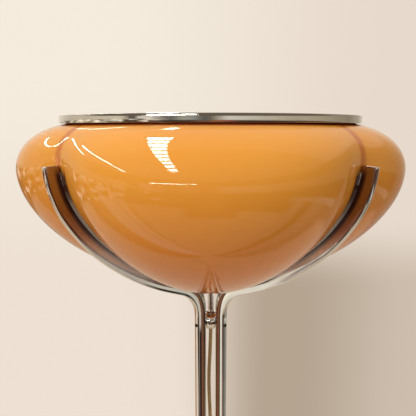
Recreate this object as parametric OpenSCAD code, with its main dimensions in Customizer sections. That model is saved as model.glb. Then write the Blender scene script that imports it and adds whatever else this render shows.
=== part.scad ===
// Floor lamp: a four-lobed acrylic bowl shade under a chrome ring, carried by four
// chrome flat bars set on edge. The bars run from the feet up the stem and out along
// the grooves between the lobes. Millimetres, +Z up, origin on the floor at the axis.

/* [Overall] */
// Height from the floor to the top of the ring
total_h = 1300; // [1150:10:1500]

/* [Shade] */
// Radius over a lobe at its widest level
lobe_r = 280; // [272:2:300]
// Radius of the groove floor at its widest level
groove_r = 244; // [240:1:250]
// Radius of the shade's round opening
rim_r = 205; // [200:1:210]
// Height from a lobe's widest level up to the rim
shoulder_h = 64; // [58:1:72]
// Height of the groove's widest level above the lobe's
groove_rise = 24; // [18:1:28]
// Drop from the end of the groove's arcs to the flat bottom
bowl_tail = 19; // [16:1:24]
// Radius of the flat seat at the bottom
seat_r = 18; // [17:0.5:20]
// Wall of the acrylic
shade_wall = 4; // [3:0.5:5]
// Roundness of a lobe's lower profile
belly_power = 1.8; // [1.7:0.01:1.9]
// Softness of the crease at the groove floor, as a share of half a lobe
crease_soft = 0.08; // [0.06:0.01:0.12]

/* [Ring] */
// Outer radius of the ring's band
ring_r = 215; // [212:0.5:218]
// Height of the ring, band and web together
ring_h = 10; // [8:0.5:14]
// Thickness of the ring's metal
ring_t = 1.8; // [1.2:0.1:2.4]
// Depth of the ring's skirt inside the opening
skirt_h = 12; // [8:1:16]
// Gap between the skirt and the opening
skirt_gap = 1.5; // [1:0.1:2]

/* [Bars] */
// Depth of a bar, seen from its side
bar_w = 18; // [16:0.5:20]
// Thickness of a bar
bar_t = 10; // [8:0.5:12]
// Distance from the axis to the bars' inner edges in the stem
stem_r = 14; // [13.5:0.1:14.2]
// Radius of the small bends, on their hollow side
bend_r = 50; // [46:1:54]
// Groove radius near the tip of an arm
tip_arc_r = 127; // [122:1:132]
// Groove radius in the middle of an arm
mid_arc_r = 242; // [236:1:248]
// Groove radius at the root of an arm
root_arc_r = 382; // [374:2:390]
// Long arc of a foot, on its under side
foot_arc_r = 380; // [360:5:400]
// Short arc at the end of a foot, on its under side
toe_arc_r = 240; // [225:5:260]
// Straight length between a foot's bend and its long arc
foot_run = 24; // [18:1:30]

/* [Feet] */
// Height of a rubber foot pad
pad_h = 4; // [3:0.5:6]

/* [Joining balls] */
// Diameter of a joining ball
ball_d = 30; // [29.5:0.1:31]
// Distance of a ball from the nearest bend's centre
ball_drop = 12; // [10:1:20]
// Bore of a ball for the cord
ball_bore = 7; // [6.8:0.1:8]
// Shank of the screws that hold the bars
screw_d = 4; // [3:0.2:5]
// Head diameter of those screws
screw_head_d = 5.6; // [5:0.1:7]
// Height of those screws' heads
screw_head_h = 1.4; // [1:0.1:2]
// Depth of the screws in a ball
screw_bite = 6; // [5:0.5:8]
// Gap round a screw's shank
screw_gap = 0.1; // [0.05:0.05:0.2]

/* [Lamp pipe and shade fixing] */
// Outer diameter of the pipe from the top ball to the hub
pipe_d = 9; // [8.6:0.1:10]
// Bore of the pipe
pipe_bore = 6.8; // [6.7:0.1:7]
// Depth of the pipe's seat in the top ball
pipe_seat = 10; // [6:0.5:12]
// Gap round the pipe
pipe_gap = 0.1; // [0.05:0.05:0.2]
// Radius of the washers on both sides of the shade
washer_r = 15; // [13:0.5:16]
// Thickness of a metal washer
washer_t = 2; // [1.5:0.1:3]
// Thickness of a rubber gasket
gasket_t = 1.5; // [1:0.1:2.5]
// Width across the flats of the pipe's nuts
nut_af = 14; // [13:0.5:17]
// Height of a nut
nut_h = 5; // [4:0.5:7]
// Gap round the pipe in the shade's hole
hole_gap = 0.6; // [0.4:0.1:1]
// Thickness of the bumpers between the arms and the shade
bumper_t = 1.2; // [1:0.1:1.6]
// Width of a bumper
bumper_w = 6; // [4:0.5:7]
// Gap between a bumper and the groove
bumper_gap = 0.3; // [0.3:0.05:0.4]

/* [Lamp holders and bulbs] */
// Height of the hub's middle above the shade's flat seat
hub_rise = 90; // [80:1:110]
// Outer diameter of the hub
hub_d = 46; // [44:1:56]
// Height of the hub
hub_h = 34; // [30:1:40]
// Wall of the hub and its lid
hub_wall = 2; // [1.5:0.1:2.5]
// Tilt of the holders above level
holder_tilt = 15; // [10:1:20]
// Outer diameter of the tubes between the hub and the holders
branch_d = 10; // [9:0.5:12]
// Wall of those tubes
branch_wall = 1; // [0.8:0.1:1.5]
// Distance from the axis to the back of a holder
holder_start = 40; // [38:1:50]
// Diameter of a holder's collar
collar_d = 24; // [20:1:28]
// Length of a holder's collar
collar_l = 12; // [10:1:16]
// Diameter of a holder's body
holder_d = 38; // [36:1:42]
// Length of a holder's body
holder_l = 46; // [42:1:52]
// Diameter of a bulb's cap
cap_d = 26.4; // [26:0.1:27]
// Length of a bulb's cap
cap_l = 27; // [25:0.5:29]
// Gap round the cap in the holder
cap_gap = 0.4; // [0.3:0.05:0.6]
// Diameter of a bulb's glass
bulb_d = 60; // [45:1:64]
// Length of a bulb's glass
bulb_l = 78; // [74:1:90]
// Wall of the glass
glass_wall = 1.2; // [0.8:0.1:1.6]

/* [Cord, switch and plug] */
// Width of the flat two-core cord
cord_w = 6; // [5.4:0.1:6.2]
// Thickness of the cord
cord_t = 3; // [2.6:0.1:3.2]
// Length of the foot switch
switch_l = 74; // [70:1:84]
// Width of the foot switch
switch_w = 36; // [34:1:42]
// Height of the foot switch without its button
switch_h = 20; // [18:0.5:24]
// Wall of the foot switch
switch_wall = 2; // [1.6:0.1:2.4]
// Diameter of the switch's button
button_d = 24; // [20:0.5:25]
// Travel of the button
button_travel = 3; // [2:0.5:4]
// Height of the button above the cover
button_rise = 5; // [5:0.5:8]
// Gap round the button
button_gap = 0.4; // [0.3:0.05:0.6]
// Length of the plug's body
plug_l = 36; // [32:1:40]
// Width of the plug's body
plug_w = 35; // [32:1:37]
// Thickness of the plug's body
plug_t = 13.7; // [12:0.1:15]
// Diameter of a plug pin
pin_d = 4; // [3.8:0.1:4.2]
// Distance between the pins
pin_span = 18.6; // [17.5:0.1:19]
// Length of a pin outside the body
pin_l = 19; // [18:0.5:20]
// Depth of a pin inside the body
pin_bite = 8; // [6:0.5:10]
// Radial step from turn to turn of the coiled cord
coil_step = 6.6; // [6.6:0.1:7.4]
// Outer radius of the coil, at the middle of the cord
coil_r = 42; // [40:1:48]
// Rise from the coil's lower layer to its upper one
coil_rise = 3.6; // [3.6:0.1:4.4]
// Thickness of the strap round the coil
strap_t = 0.8; // [0.6:0.1:1]
// Width of the strap
strap_w = 8; // [6:0.5:10]
// Gap between the strap and the cord
strap_gap = 0.3; // [0.2:0.05:0.4]

/* [Hidden] */
$fn = 96;
ALL_AZ = [-135, -45, 45, 135];
HOLDER_AZ = [-90, 0, 90, 180];

// Normals along an arm's profile, in degrees below level, where one arc meets the next
TIP_A = 3.2;
TIP_END_A = 32;
MID_END_A = 49;
ROOT_END_A = 67;
// Normals along a foot, where its arcs meet, and where the floor cuts it
FOOT_ARC_A = 49;
TOE_A = 32;
TOE_SPARE_A = 7;

// Levels
rim_z = total_h - ring_h;
lobe_z = rim_z - shoulder_h;
groove_z = lobe_z + groove_rise;

// The groove's profile: three arcs in the plane of a bar, as [radius, height]
function slope(a) = [cos(a), -sin(a)];
tip_c = [groove_r - tip_arc_r, groove_z];
tip_end = tip_c + tip_arc_r*slope(TIP_END_A);
mid_c = tip_end - mid_arc_r*slope(TIP_END_A);
mid_end = mid_c + mid_arc_r*slope(MID_END_A);
root_c = mid_end - root_arc_r*slope(MID_END_A);
root_end = root_c + root_arc_r*slope(ROOT_END_A);
seat_z = root_end.y - bowl_tail;

// The arm's small bend: its centre, and the straight length between it and the arcs
bend_c_r = stem_r + bar_w + bend_r;
bend_reach = bumper_t + bar_w + bend_r;
arm_run = (root_end.x + bend_reach*cos(ROOT_END_A) - bend_c_r)/sin(ROOT_END_A);
bend_z = root_end.y - bend_reach*sin(ROOT_END_A) - arm_run*cos(ROOT_END_A);

// The foot's profile on its under side, with heights measured down from its bend's centre
foot_start = [bend_c_r - (bend_r + bar_w)*cos(ROOT_END_A), (bend_r + bar_w)*sin(ROOT_END_A)];
foot_long = foot_start + foot_run*[sin(ROOT_END_A), cos(ROOT_END_A)];
foot_c = foot_long - foot_arc_r*slope(ROOT_END_A);
toe_start = foot_c + foot_arc_r*slope(FOOT_ARC_A);
toe_c = toe_start - toe_arc_r*slope(FOOT_ARC_A);
toe_end = toe_c + toe_arc_r*slope(TOE_A);
foot_bend_z = pad_h + toe_end.y;
toe_l = bar_w/cos(TOE_A);

// The skin's shoulders: widths of the quarter ellipses over a groove and over a lobe,
// their full heights, and the share of the wall that the rim's bevel takes
GROOVE_IN = 56;
LOBE_IN = 91;
RIM_BEVEL = 0.25;
function full_rise(h, in, over) = h/sqrt(1 - pow((in - over)/in, 2));
groove_up = full_rise(rim_z - groove_z, GROOVE_IN, groove_r - rim_r);
lobe_up = full_rise(shoulder_h, LOBE_IN, lobe_r - rim_r);
// Power of the curve that ends the groove at the flat seat, where it leaves a little kink
TAIL_KINK = 2;
tail_power = (root_end.x - seat_r)*tan(90 - ROOT_END_A - TAIL_KINK)/bowl_tail;
// Rows of the skin along the groove, and steps of half a lobe, closer near the groove
TAIL_ROWS = 5;
ROOT_ROWS = 4;
MID_ROWS = 3;
TIP_ROWS = 5;
RIM_ROWS = 6;
LOBE_STEPS = 10;
STEP_POWER = 1.6;

// Joining balls
top_ball_z = bend_z - ball_drop;
low_ball_z = foot_bend_z + ball_drop;
BALL_Z = [top_ball_z, (top_ball_z + low_ball_z)/2, low_ball_z];

// Hub and holders
hub_z = seat_z + hub_rise;
pipe_top_z = hub_z - hub_h/2 + hub_wall + nut_h + 1;
holder_mouth = holder_start + collar_l + holder_l;

// Foot switch, plug and cord: their places on the floor
SWITCH_AT = [60, 420];
CORD_Z = 8.8;
// Tapered rubber sleeves where the cord leaves the stem, the switch and the plug
SLEEVE_L = 20;
SLEEVE_TIP = cord_w + 1.8;
GRIP_D = 9;
SWITCH_LEFT = SWITCH_AT.y + switch_l/2 + SLEEVE_L;
SWITCH_NEAR = SWITCH_AT.y - switch_l/2 - SLEEVE_L;
COIL_Y = 560;
coil_c = [SWITCH_AT.x - coil_r, COIL_Y];
coil_z = strap_t + strap_gap + cord_t/2;
BUSH_D = 12;
BUSH_SEAT = 3;
exit_z = low_ball_z - ball_d/2 - SLEEVE_L;
COIL_TURNS_IN = 2.25;
RINGS_A_TURN = 24;
PLUG_AT = [SWITCH_AT.x - 2*coil_r, 440];

// The cord's free route from the lower ball to the switch
RUN_TO_SWITCH = [[0, 0, exit_z], [0, 0, 150], [0, 8, 112], [0, 32, 66], [0, 72, 25],
    [0, 115, 5], [2, 160, 2], [12, 215, 2], [34, 268, 2], [54, 315, 2.6],
    [60, 345, 7.6], [60, SWITCH_NEAR, CORD_Z]];
// From the switch to the coil
RUN_TO_COIL = [[60, SWITCH_LEFT, CORD_Z], [60, 494, 7.4], [60, 520, 2.9], [60, 542, coil_z],
    [60, COIL_Y, coil_z]];
// From the coil to the plug
RUN_TO_PLUG = [[PLUG_AT.x, COIL_Y, coil_z + coil_rise], [PLUG_AT.x, 540, 5.4],
    [PLUG_AT.x, 512, 2.4], [PLUG_AT.x, 484, 4], [PLUG_AT.x, PLUG_AT.y + SLEEVE_L, plug_t/2]];
// Inside the lamp, from the hub down the pipe and the stem
STEM_CORD_TOP = pipe_top_z + 4;
RUN_IN_STEM = [[0, 0, STEM_CORD_TOP], [0, 0, top_ball_z + 20], [0, 0, top_ball_z - 16],
    [-1, 0, top_ball_z - 50], [-3, 1, top_ball_z - 110], [0, 1, top_ball_z - 200],
    [2, 0, top_ball_z - 300], [0, 0, BALL_Z[1] + 18], [0, 0, BALL_Z[1] - 18],
    [-2, 0, BALL_Z[1] - 100], [1, 1, BALL_Z[1] - 240], [0, 0, low_ball_z + 18],
    [0, 0, exit_z]];

// Steps of the arcs along a bar's two sides
BEND_STEPS = 12;
TIP_STEPS = 8;
ARC_STEPS = 6;
function arc_side(c, r, from, to, n) = [for (k = [1:n]) c + r*slope(from + (to - from)*k/n)];
// The small bend beside the stem, from the stem outwards, with heights from its centre
function bend_side(r) = [for (k = [0:BEND_STEPS])
    let (a = 180 - ROOT_END_A*k/BEND_STEPS)
    [bend_c_r + r*cos(a), r*sin(a)]];
function raised(points, z) = [for (p = points) p + [0, z]];
function lowered(points, z) = [for (p = points) [p.x, z - p.y]];
function turned(points) = [for (k = [len(points) - 1:-1:0]) points[k]];
function tip_side(d) = arc_side(tip_c, tip_arc_r + bumper_t + d, TIP_END_A, TIP_A, TIP_STEPS);

// One side of an arm: d is 0 on the side towards the shade and the bar's depth on the other
function arm_side(d) = concat(
    raised(bend_side(bend_r + bar_w - d), bend_z),
    [root_c + (root_arc_r + bumper_t + d)*slope(ROOT_END_A)],
    arc_side(root_c, root_arc_r + bumper_t + d, ROOT_END_A, MID_END_A, ARC_STEPS),
    arc_side(mid_c, mid_arc_r + bumper_t + d, MID_END_A, TIP_END_A, ARC_STEPS),
    tip_side(d));
// One side of a foot, from its under side at 0
function foot_side(d) = lowered(concat(
    bend_side(bend_r + bar_w - d),
    [foot_c + (foot_arc_r + d)*slope(ROOT_END_A)],
    arc_side(foot_c, foot_arc_r + d, ROOT_END_A, FOOT_ARC_A, ARC_STEPS),
    arc_side(toe_c, toe_arc_r + d, FOOT_ARC_A, TOE_A - TOE_SPARE_A, ARC_STEPS)), foot_bend_z);

// One bar from foot to tip, with a screw hole at each ball
module bar(az) {
    spare = 2*toe_l;
    color("silver")
    rotate([0, 0, az])
    difference() {
        rotate([90, 0, 0])
        linear_extrude(bar_t, center = true)
        polygon(concat(turned(foot_side(0)), arm_side(0), turned(arm_side(bar_w)), foot_side(bar_w)));
        translate([toe_end.x - spare, -bar_t, pad_h - spare])
        cube([2*spare + toe_l, 2*bar_t, spare]);
        for (z = BALL_Z)
            translate([stem_r - 1, 0, z])
            rotate([0, 90, 0])
            cylinder(d = screw_d + 2*screw_gap, h = bar_w + 2);
    }
}

module foot_pads() {
    color("dimgray")
    for (az = ALL_AZ)
        rotate([0, 0, az])
        translate([toe_end.x, -bar_t/2, 0])
        cube([toe_l, bar_t, pad_h]);
}

// A joining ball with a flat for each bar, the cord's bore and the screws' holes
module ball(z, seat) {
    far = ball_d;
    color("gainsboro")
    translate([0, 0, z])
    difference() {
        sphere(d = ball_d);
        cylinder(d = ball_bore, h = 2*far, center = true);
        if (seat > 0)
            translate([0, 0, ball_d/2 - seat])
            cylinder(d = pipe_d + 2*pipe_gap, h = far);
        for (az = ALL_AZ)
            rotate([0, 0, az]) {
                translate([stem_r, -far/2, -far/2]) cube(far);
                translate([stem_r - screw_bite, 0, 0])
                rotate([0, 90, 0])
                cylinder(d = screw_d + 2*screw_gap, h = far);
            }
    }
}

module bar_screws(z) {
    color("#3a342e")
    for (az = ALL_AZ)
        rotate([0, 0, az])
        translate([stem_r - screw_bite + screw_gap, 0, z])
        rotate([0, 90, 0]) {
            shank = screw_bite - screw_gap + bar_w;
            cylinder(d = screw_d, h = shank);
            translate([0, 0, shank]) cylinder(d = screw_head_d, h = screw_head_h);
        }
}

// The groove floor from the flat seat to the rim, moved in by a wall
function tail_point(k, w) =
    let (r = seat_r + (root_end.x - seat_r)*k/TAIL_ROWS)
    [r - w*cos(ROOT_END_A)*k/TAIL_ROWS,
        seat_z + bowl_tail*pow(k/TAIL_ROWS, tail_power) + w*(1 - (1 - sin(ROOT_END_A))*k/TAIL_ROWS)];
function arc_points(c, r, from, to, n) = [for (k = [1:n]) c + r*slope(from + (to - from)*k/n)];
// The shoulder over a groove: a quarter ellipse that is cut off at the rim
function groove_shoulder(w) =
    let (end = acos((rim_r - RIM_BEVEL*w - (groove_r - GROOVE_IN))/(GROOVE_IN - w)))
    [for (k = [1:RIM_ROWS]) let (a = end*k/RIM_ROWS)
        [groove_r - GROOVE_IN + (GROOVE_IN - w)*cos(a), groove_z + (groove_up - w)*sin(a)]];
function groove_curve(w) = concat(
    [for (k = [0:TAIL_ROWS]) tail_point(k, w)],
    arc_points(root_c, root_arc_r - w, ROOT_END_A, MID_END_A, ROOT_ROWS),
    arc_points(mid_c, mid_arc_r - w, MID_END_A, TIP_END_A, MID_ROWS),
    arc_points(tip_c, tip_arc_r - w, TIP_END_A, 0, TIP_ROWS),
    groove_shoulder(w));

// A lobe's profile: how far it lies from the middle of the widest level, in direction a
function lobe_reach(a, w) = a < 0
    ? pow(pow(cos(a)/(lobe_r - w), belly_power)
        + pow(-sin(a)/(lobe_z - seat_z - w), belly_power), -1/belly_power)
    : let (p = LOBE_IN - w, q = lobe_up - w, o = lobe_r - LOBE_IN,
        ka = pow(cos(a)/p, 2) + pow(sin(a)/q, 2),
        kb = -2*o*cos(a)/(p*p),
        kc = o*o/(p*p) - 1)
        (-kb + sqrt(kb*kb - 4*ka*kc))/(2*ka);

// Share of a lobe's swell at azimuth t, from 0 in the groove to 1 on the lobe's middle
function lobe_share(k) = pow(k/LOBE_STEPS, STEP_POWER);
function soft(q) = (sqrt(q*q + crease_soft*crease_soft) - crease_soft)
    /(sqrt(1 + crease_soft*crease_soft) - crease_soft);
function swell(q) = 2*soft(q) - soft(q)*soft(q);
EIGHTH = [for (k = [0:LOBE_STEPS]) lobe_share(k)];
QUARTER = concat([for (k = [0:LOBE_STEPS - 1]) [45*EIGHTH[k], swell(EIGHTH[k])]],
    [for (k = [0:LOBE_STEPS - 1])
        [90 - 45*EIGHTH[LOBE_STEPS - k], swell(EIGHTH[LOBE_STEPS - k])]]);
AROUND = [for (quarter = [0:3], s = QUARTER) [45 + 90*quarter + s[0], s[1]]];

// One level ring of the shade's skin through a groove point
function skin_row(g, w) =
    let (a = atan2(g.y - lobe_z, g.x),
        near = norm([g.x, g.y - lobe_z]),
        far = max(near, lobe_reach(a, w)))
    [for (s = AROUND) let (d = near + (far - near)*s[1])
        [d*cos(a)*cos(s[0]), d*cos(a)*sin(s[0]), lobe_z + d*sin(a)]];
function round_row(r, z) = [for (s = AROUND) [r*cos(s[0]), r*sin(s[0]), z]];

// The acrylic bowl: an outer and an inner skin joined at the rim and round the pipe's hole
module shade() {
    hole_r = pipe_d/2 + hole_gap;
    outer = [for (g = groove_curve(0)) skin_row(g, 0)];
    inner = [for (g = groove_curve(shade_wall)) skin_row(g, shade_wall)];
    rows = concat([round_row(hole_r, seat_z)], outer,
        [for (k = [len(inner) - 1:-1:0]) inner[k]], [round_row(hole_r, seat_z + shade_wall)]);
    n = len(AROUND);
    m = len(rows);
    points = [for (row = rows, p = row) p];
    faces = [for (i = [0:m - 1], j = [0:n - 1])
        let (i2 = (i + 1)%m, j2 = (j + 1)%n,
            a = i*n + j, b = i*n + j2, c = i2*n + j2, d = i2*n + j)
        each [[a, c, b], [a, d, c]]];
    color("#e2a052")
    polyhedron(points, faces);
}

// The chrome ring: a band, a web that rests on the shade's rim and a skirt in its opening
module top_ring() {
    skirt_r = rim_r - RIM_BEVEL*shade_wall - skirt_gap;
    color("silver")
    rotate_extrude()
    union() {
        translate([ring_r - ring_t, rim_z]) square([ring_t, ring_h]);
        translate([skirt_r - ring_t, rim_z]) square([ring_r - skirt_r + ring_t, ring_t]);
        translate([skirt_r - ring_t, rim_z - skirt_h]) square([ring_t, skirt_h + ring_t]);
    }
}

// Clear bumpers on the arms near their tips, between two of the tip arc's steps
BUMPER_STEPS = [4, 6];
module arm_bumpers() {
    on_bar = [for (k = [BUMPER_STEPS[0]:BUMPER_STEPS[1]]) tip_side(0)[k]];
    inside = [for (k = [BUMPER_STEPS[0]:BUMPER_STEPS[1]]) tip_side(bumper_gap - bumper_t)[k]];
    color("#e8e2d6")
    for (az = ALL_AZ)
        rotate([0, 0, az])
        rotate([90, 0, 0])
        linear_extrude(bumper_w, center = true)
        polygon(concat(on_bar, turned(inside)));
}

module tube(od, id, h) {
    difference() {
        cylinder(d = od, h = h);
        translate([0, 0, -1]) cylinder(d = id, h = h + 2);
    }
}

module nut(h) {
    difference() {
        cylinder(d = nut_af/cos(30), h = h, $fn = 6);
        translate([0, 0, -1]) cylinder(d = pipe_d + 2*pipe_gap, h = h + 2);
    }
}

module lamp_pipe() {
    from = top_ball_z + ball_d/2 - pipe_seat;
    color("silver")
    translate([0, 0, from])
    tube(pipe_d, pipe_bore, pipe_top_z - from);
}

// Below the shade: nut, washer, gasket; above it: gasket, washer, nut
module support_nut() {
    color("silver")
    translate([0, 0, seat_z - gasket_t - washer_t - nut_h])
    nut(nut_h);
}

module lower_washer() {
    color("silver")
    translate([0, 0, seat_z - gasket_t - washer_t])
    tube(2*washer_r, pipe_d + 2*pipe_gap, washer_t);
}

module shade_gaskets() {
    color("#4a4038")
    for (z = [seat_z - gasket_t, seat_z + shade_wall])
        translate([0, 0, z])
        tube(2*washer_r, pipe_d + 2*pipe_gap, gasket_t);
}

module upper_washer() {
    color("silver")
    translate([0, 0, seat_z + shade_wall + gasket_t])
    tube(2*washer_r, pipe_d + 2*pipe_gap, washer_t);
}

module shade_nut() {
    color("silver")
    translate([0, 0, seat_z + shade_wall + gasket_t + washer_t])
    nut(nut_h);
}

// A frame along a holder: X runs out from the hub
module along(az) {
    rotate([0, 0, az])
    translate([0, 0, hub_z])
    rotate([0, -holder_tilt, 0])
    rotate([0, 90, 0])
    children();
}

BRANCH_GAP = 0.1;
// How far a branch tube reaches into the hub and into its holder
BRANCH_IN = 3;
BRANCH_SEAT = 6;
branch_from = hub_d/2 - hub_wall - BRANCH_IN;

module hub_body() {
    color("whitesmoke")
    difference() {
        translate([0, 0, hub_z - hub_h/2]) cylinder(d = hub_d, h = hub_h);
        translate([0, 0, hub_z - hub_h/2 + hub_wall]) cylinder(d = hub_d - 2*hub_wall, h = hub_h);
        translate([0, 0, hub_z - hub_h]) cylinder(d = pipe_d + 2*pipe_gap, h = hub_h);
        for (az = HOLDER_AZ)
            along(az)
            cylinder(d = branch_d + 2*BRANCH_GAP, h = hub_d);
    }
}

// The nuts that hold the hub on the pipe, one below its floor and one inside
module hub_nuts() {
    color("silver")
    for (z = [hub_z - hub_h/2 - nut_h, hub_z - hub_h/2 + hub_wall])
        translate([0, 0, z])
        nut(nut_h);
}

LID_SCREW_D = 4;
LID_SCREW_BITE = 4;
LID_HEAD_H = 2.4;
LID_LIP = 3;
lid_z = hub_z + hub_h/2;
block_top = lid_z - 8;

module hub_lid() {
    color("whitesmoke")
    translate([0, 0, lid_z])
    difference() {
        union() {
            cylinder(d = hub_d, h = hub_wall);
            translate([0, 0, -LID_LIP]) cylinder(d = hub_d - 2*hub_wall - 2*BRANCH_GAP, h = LID_LIP);
        }
        translate([0, 0, -LID_LIP - 1]) cylinder(d = LID_SCREW_D + 2*screw_gap, h = LID_LIP + hub_wall + 2);
    }
}

// The screw through the lid into the terminal block's post
module lid_screw() {
    color("silver")
    translate([0, 0, block_top - LID_SCREW_BITE]) {
        shank = lid_z + hub_wall - block_top + LID_SCREW_BITE;
        cylinder(d = LID_SCREW_D, h = shank);
        translate([0, 0, shank]) cylinder(d = 2*LID_SCREW_D, h = LID_HEAD_H);
    }
}

// The terminal block stands on the hub's nut beside the cord
BLOCK_W = 16;
BLOCK_D = 7;
module terminal_block() {
    base_z = hub_z - hub_h/2 + hub_wall + nut_h;
    gap = pipe_d/2 + 1;
    color("ivory")
    difference() {
        translate([-BLOCK_W/2, -gap - BLOCK_D/2, base_z])
        cube([BLOCK_W, 2*gap + BLOCK_D, block_top - base_z]);
        translate([0, 0, base_z - 1]) cylinder(r = gap, h = STEM_CORD_TOP - base_z + 2);
        translate([0, 0, block_top - LID_SCREW_BITE - 1])
        cylinder(d = LID_SCREW_D + 2*screw_gap, h = 2*LID_SCREW_BITE);
    }
}

module holder_branches() {
    color("silver")
    for (az = HOLDER_AZ)
        along(az)
        translate([0, 0, branch_from])
        tube(branch_d, branch_d - 2*branch_wall, holder_start + BRANCH_SEAT - branch_from);
}

// A lamp holder: a collar on the branch and a body with the socket
module holder(az) {
    color("whitesmoke")
    along(az)
    translate([0, 0, holder_start])
    difference() {
        union() {
            cylinder(d = collar_d, h = collar_l);
            translate([0, 0, collar_l]) cylinder(d = holder_d, h = holder_l);
        }
        translate([0, 0, -1]) cylinder(d = branch_d + 2*BRANCH_GAP, h = BRANCH_SEAT + 1);
        translate([0, 0, collar_l + holder_l - cap_l]) cylinder(d = cap_d + 2*cap_gap, h = cap_l + 1);
    }
}

// A bulb's metal cap, with its foot contact resting in the socket
CONTACT_D = 9;
CONTACT_H = 3;
CAP_CONE_H = 4;
module cap(az) {
    cone_top = CONTACT_H + CAP_CONE_H;
    color("gainsboro")
    along(az)
    translate([0, 0, holder_mouth - cap_l]) {
        cylinder(d = CONTACT_D, h = CONTACT_H);
        translate([0, 0, CONTACT_H]) cylinder(d1 = CONTACT_D + 3, d2 = cap_d, h = CAP_CONE_H);
        translate([0, 0, cone_top]) cylinder(d = cap_d, h = cap_l - cone_top);
    }
}

// Half of a bulb's outline, moved in by a wall: a neck, a cone that touches a globe
NECK_H = 8;
NECK_OUT = 1;
module bulb_outline(w) {
    r = bulb_d/2;
    crown = bulb_l - r;
    neck = [cap_d/2 + NECK_OUT, NECK_H - crown];
    touch = atan2(-neck.y, neck.x) - acos(r/norm(neck));
    intersection() {
        translate([0, crown]) circle(r = r - w);
        square([r, bulb_l]);
    }
    polygon([[0, 0], [cap_d/2 - w, 0], [neck.x - w, NECK_H],
        [(r - w)*cos(touch), crown - (r - w)*sin(touch)], [0, crown]]);
}

// A bulb's glass, open at its cap
module bulb(az) {
    color("#fdf6e6")
    along(az)
    translate([0, 0, holder_mouth])
    rotate_extrude()
    difference() {
        bulb_outline(0);
        bulb_outline(glass_wall);
    }
}

// Points on a smooth curve through a route's own points
function between(a, b, c, d, t) = 0.5*(2*b + (c - a)*t + (2*a - 5*b + 4*c - d)*t*t
    + (3*b - a - 3*c + d)*t*t*t);
function smooth_route(p, steps) = concat(
    [for (i = [0:len(p) - 2], k = [0:steps - 1])
        between(p[max(i - 1, 0)], p[i], p[i + 1], p[min(i + 2, len(p) - 1)], k/steps)],
    [p[len(p) - 1]]);
function unit(v) = v/max(norm(v), 1e-9);
// Where a route is steeper than this, the cord's flat side faces the front
STEEP = 0.3;
function heading(v) = norm([v.x, v.y]) < STEEP*norm(v) ? [0, 1, 0] : unit([v.x, v.y, 0]);
// The flat cord's outline round its middle, in shares of its width and thickness
FLAT8 = [[0.5, 0.22], [0.36, 0.5], [-0.36, 0.5], [-0.5, 0.22], [-0.5, -0.22], [-0.36, -0.5],
    [0.36, -0.5], [0.5, -0.22]];
FLAT6 = [[0.5, 0], [0.3, 0.5], [-0.3, 0.5], [-0.5, 0], [-0.3, -0.5], [0.3, -0.5]];
function tangent(p, i) = unit(p[min(i + 1, len(p) - 1)] - p[max(i - 1, 0)]);
function cord_ring(at, along_v, outline) =
    let (side = cross(heading(along_v), [0, 0, 1]),
        up = unit(cross(side, along_v)))
    [for (s = outline) at + side*s.x*cord_w + up*s.y*cord_t];

// A tube along points: one ring at each point, closed by a cap at each end
module cord_tube(p, ends, outline) {
    n = len(outline);
    m = len(p);
    rings = [for (i = [0:m - 1]) cord_ring(p[i],
        i == 0 ? ends[0] : i == m - 1 ? ends[1] : tangent(p, i), outline)];
    points = [for (ring = rings, q = ring) q];
    sides = [for (i = [0:m - 2], j = [0:n - 1])
        let (a = i*n + j, b = i*n + (j + 1)%n)
        each [[a, b, b + n], [a, b + n, a + n]]];
    fans = [for (j = [1:n - 2]) each [[0, j + 1, j], [(m - 1)*n, (m - 1)*n + j, (m - 1)*n + j + 1]]];
    color("#b9935a")
    polyhedron(points, concat(sides, fans));
}

DOWN = [0, 0, -1];
AWAY = [0, 1, 0];
BACK = [0, -1, 0];

module stem_cord() {
    cord_tube(smooth_route(RUN_IN_STEM, 4), [DOWN, DOWN], FLAT8);
}

module cord_to_switch() {
    cord_tube(smooth_route(RUN_TO_SWITCH, 4), [DOWN, AWAY], FLAT8);
}

module cord_to_coil() {
    cord_tube(smooth_route(RUN_TO_COIL, 2), [AWAY, AWAY], FLAT8);
}

module cord_to_plug() {
    cord_tube(smooth_route(RUN_TO_PLUG, 2), [BACK, BACK], FLAT8);
}

// The coil: a spiral in on the floor, a quarter turn up, and a spiral out on top of it,
// which first steps out past the quarter turn
TURN_IN = 360*COIL_TURNS_IN;
CLIMB = 90;
coil_end = 2*TURN_IN;
function coil_in(a) = a < TURN_IN + CLIMB ? a
    : a > TURN_IN + 360 ? coil_end - a
    : TURN_IN + CLIMB - (360 + CLIMB)*(a - TURN_IN - CLIMB)/(360 - CLIMB);
function coil_point(a) =
    let (r = coil_r - coil_step*coil_in(a)/360,
        up = a < TURN_IN ? 0 : a > TURN_IN + CLIMB ? 1 : (1 - cos(180*(a - TURN_IN)/CLIMB))/2)
    [coil_c.x + r*cos(a), coil_c.y + r*sin(a), coil_z + coil_rise*up];
coil_path = [for (k = [0:coil_end*RINGS_A_TURN/360]) coil_point(k*360/RINGS_A_TURN)];

// Least gap between two turns of the coil, measured between points a third of a turn apart
// or more: side by side the cord's width counts, and one above the other its thickness
function turn_gap(p, q) =
    let (flat = norm([p.x - q.x, p.y - q.y]) - cord_w, high = abs(p.z - q.z) - cord_t)
    max(flat, high);
coil_gaps = [for (i = [0:len(coil_path) - 1], j = [i + RINGS_A_TURN/3:1:len(coil_path) - 1])
    turn_gap(coil_path[i], coil_path[j])];
echo(least_gap_in_coil = min(coil_gaps));

module cord_coil() {
    cord_tube(coil_path, [AWAY, BACK], FLAT6);
}

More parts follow.
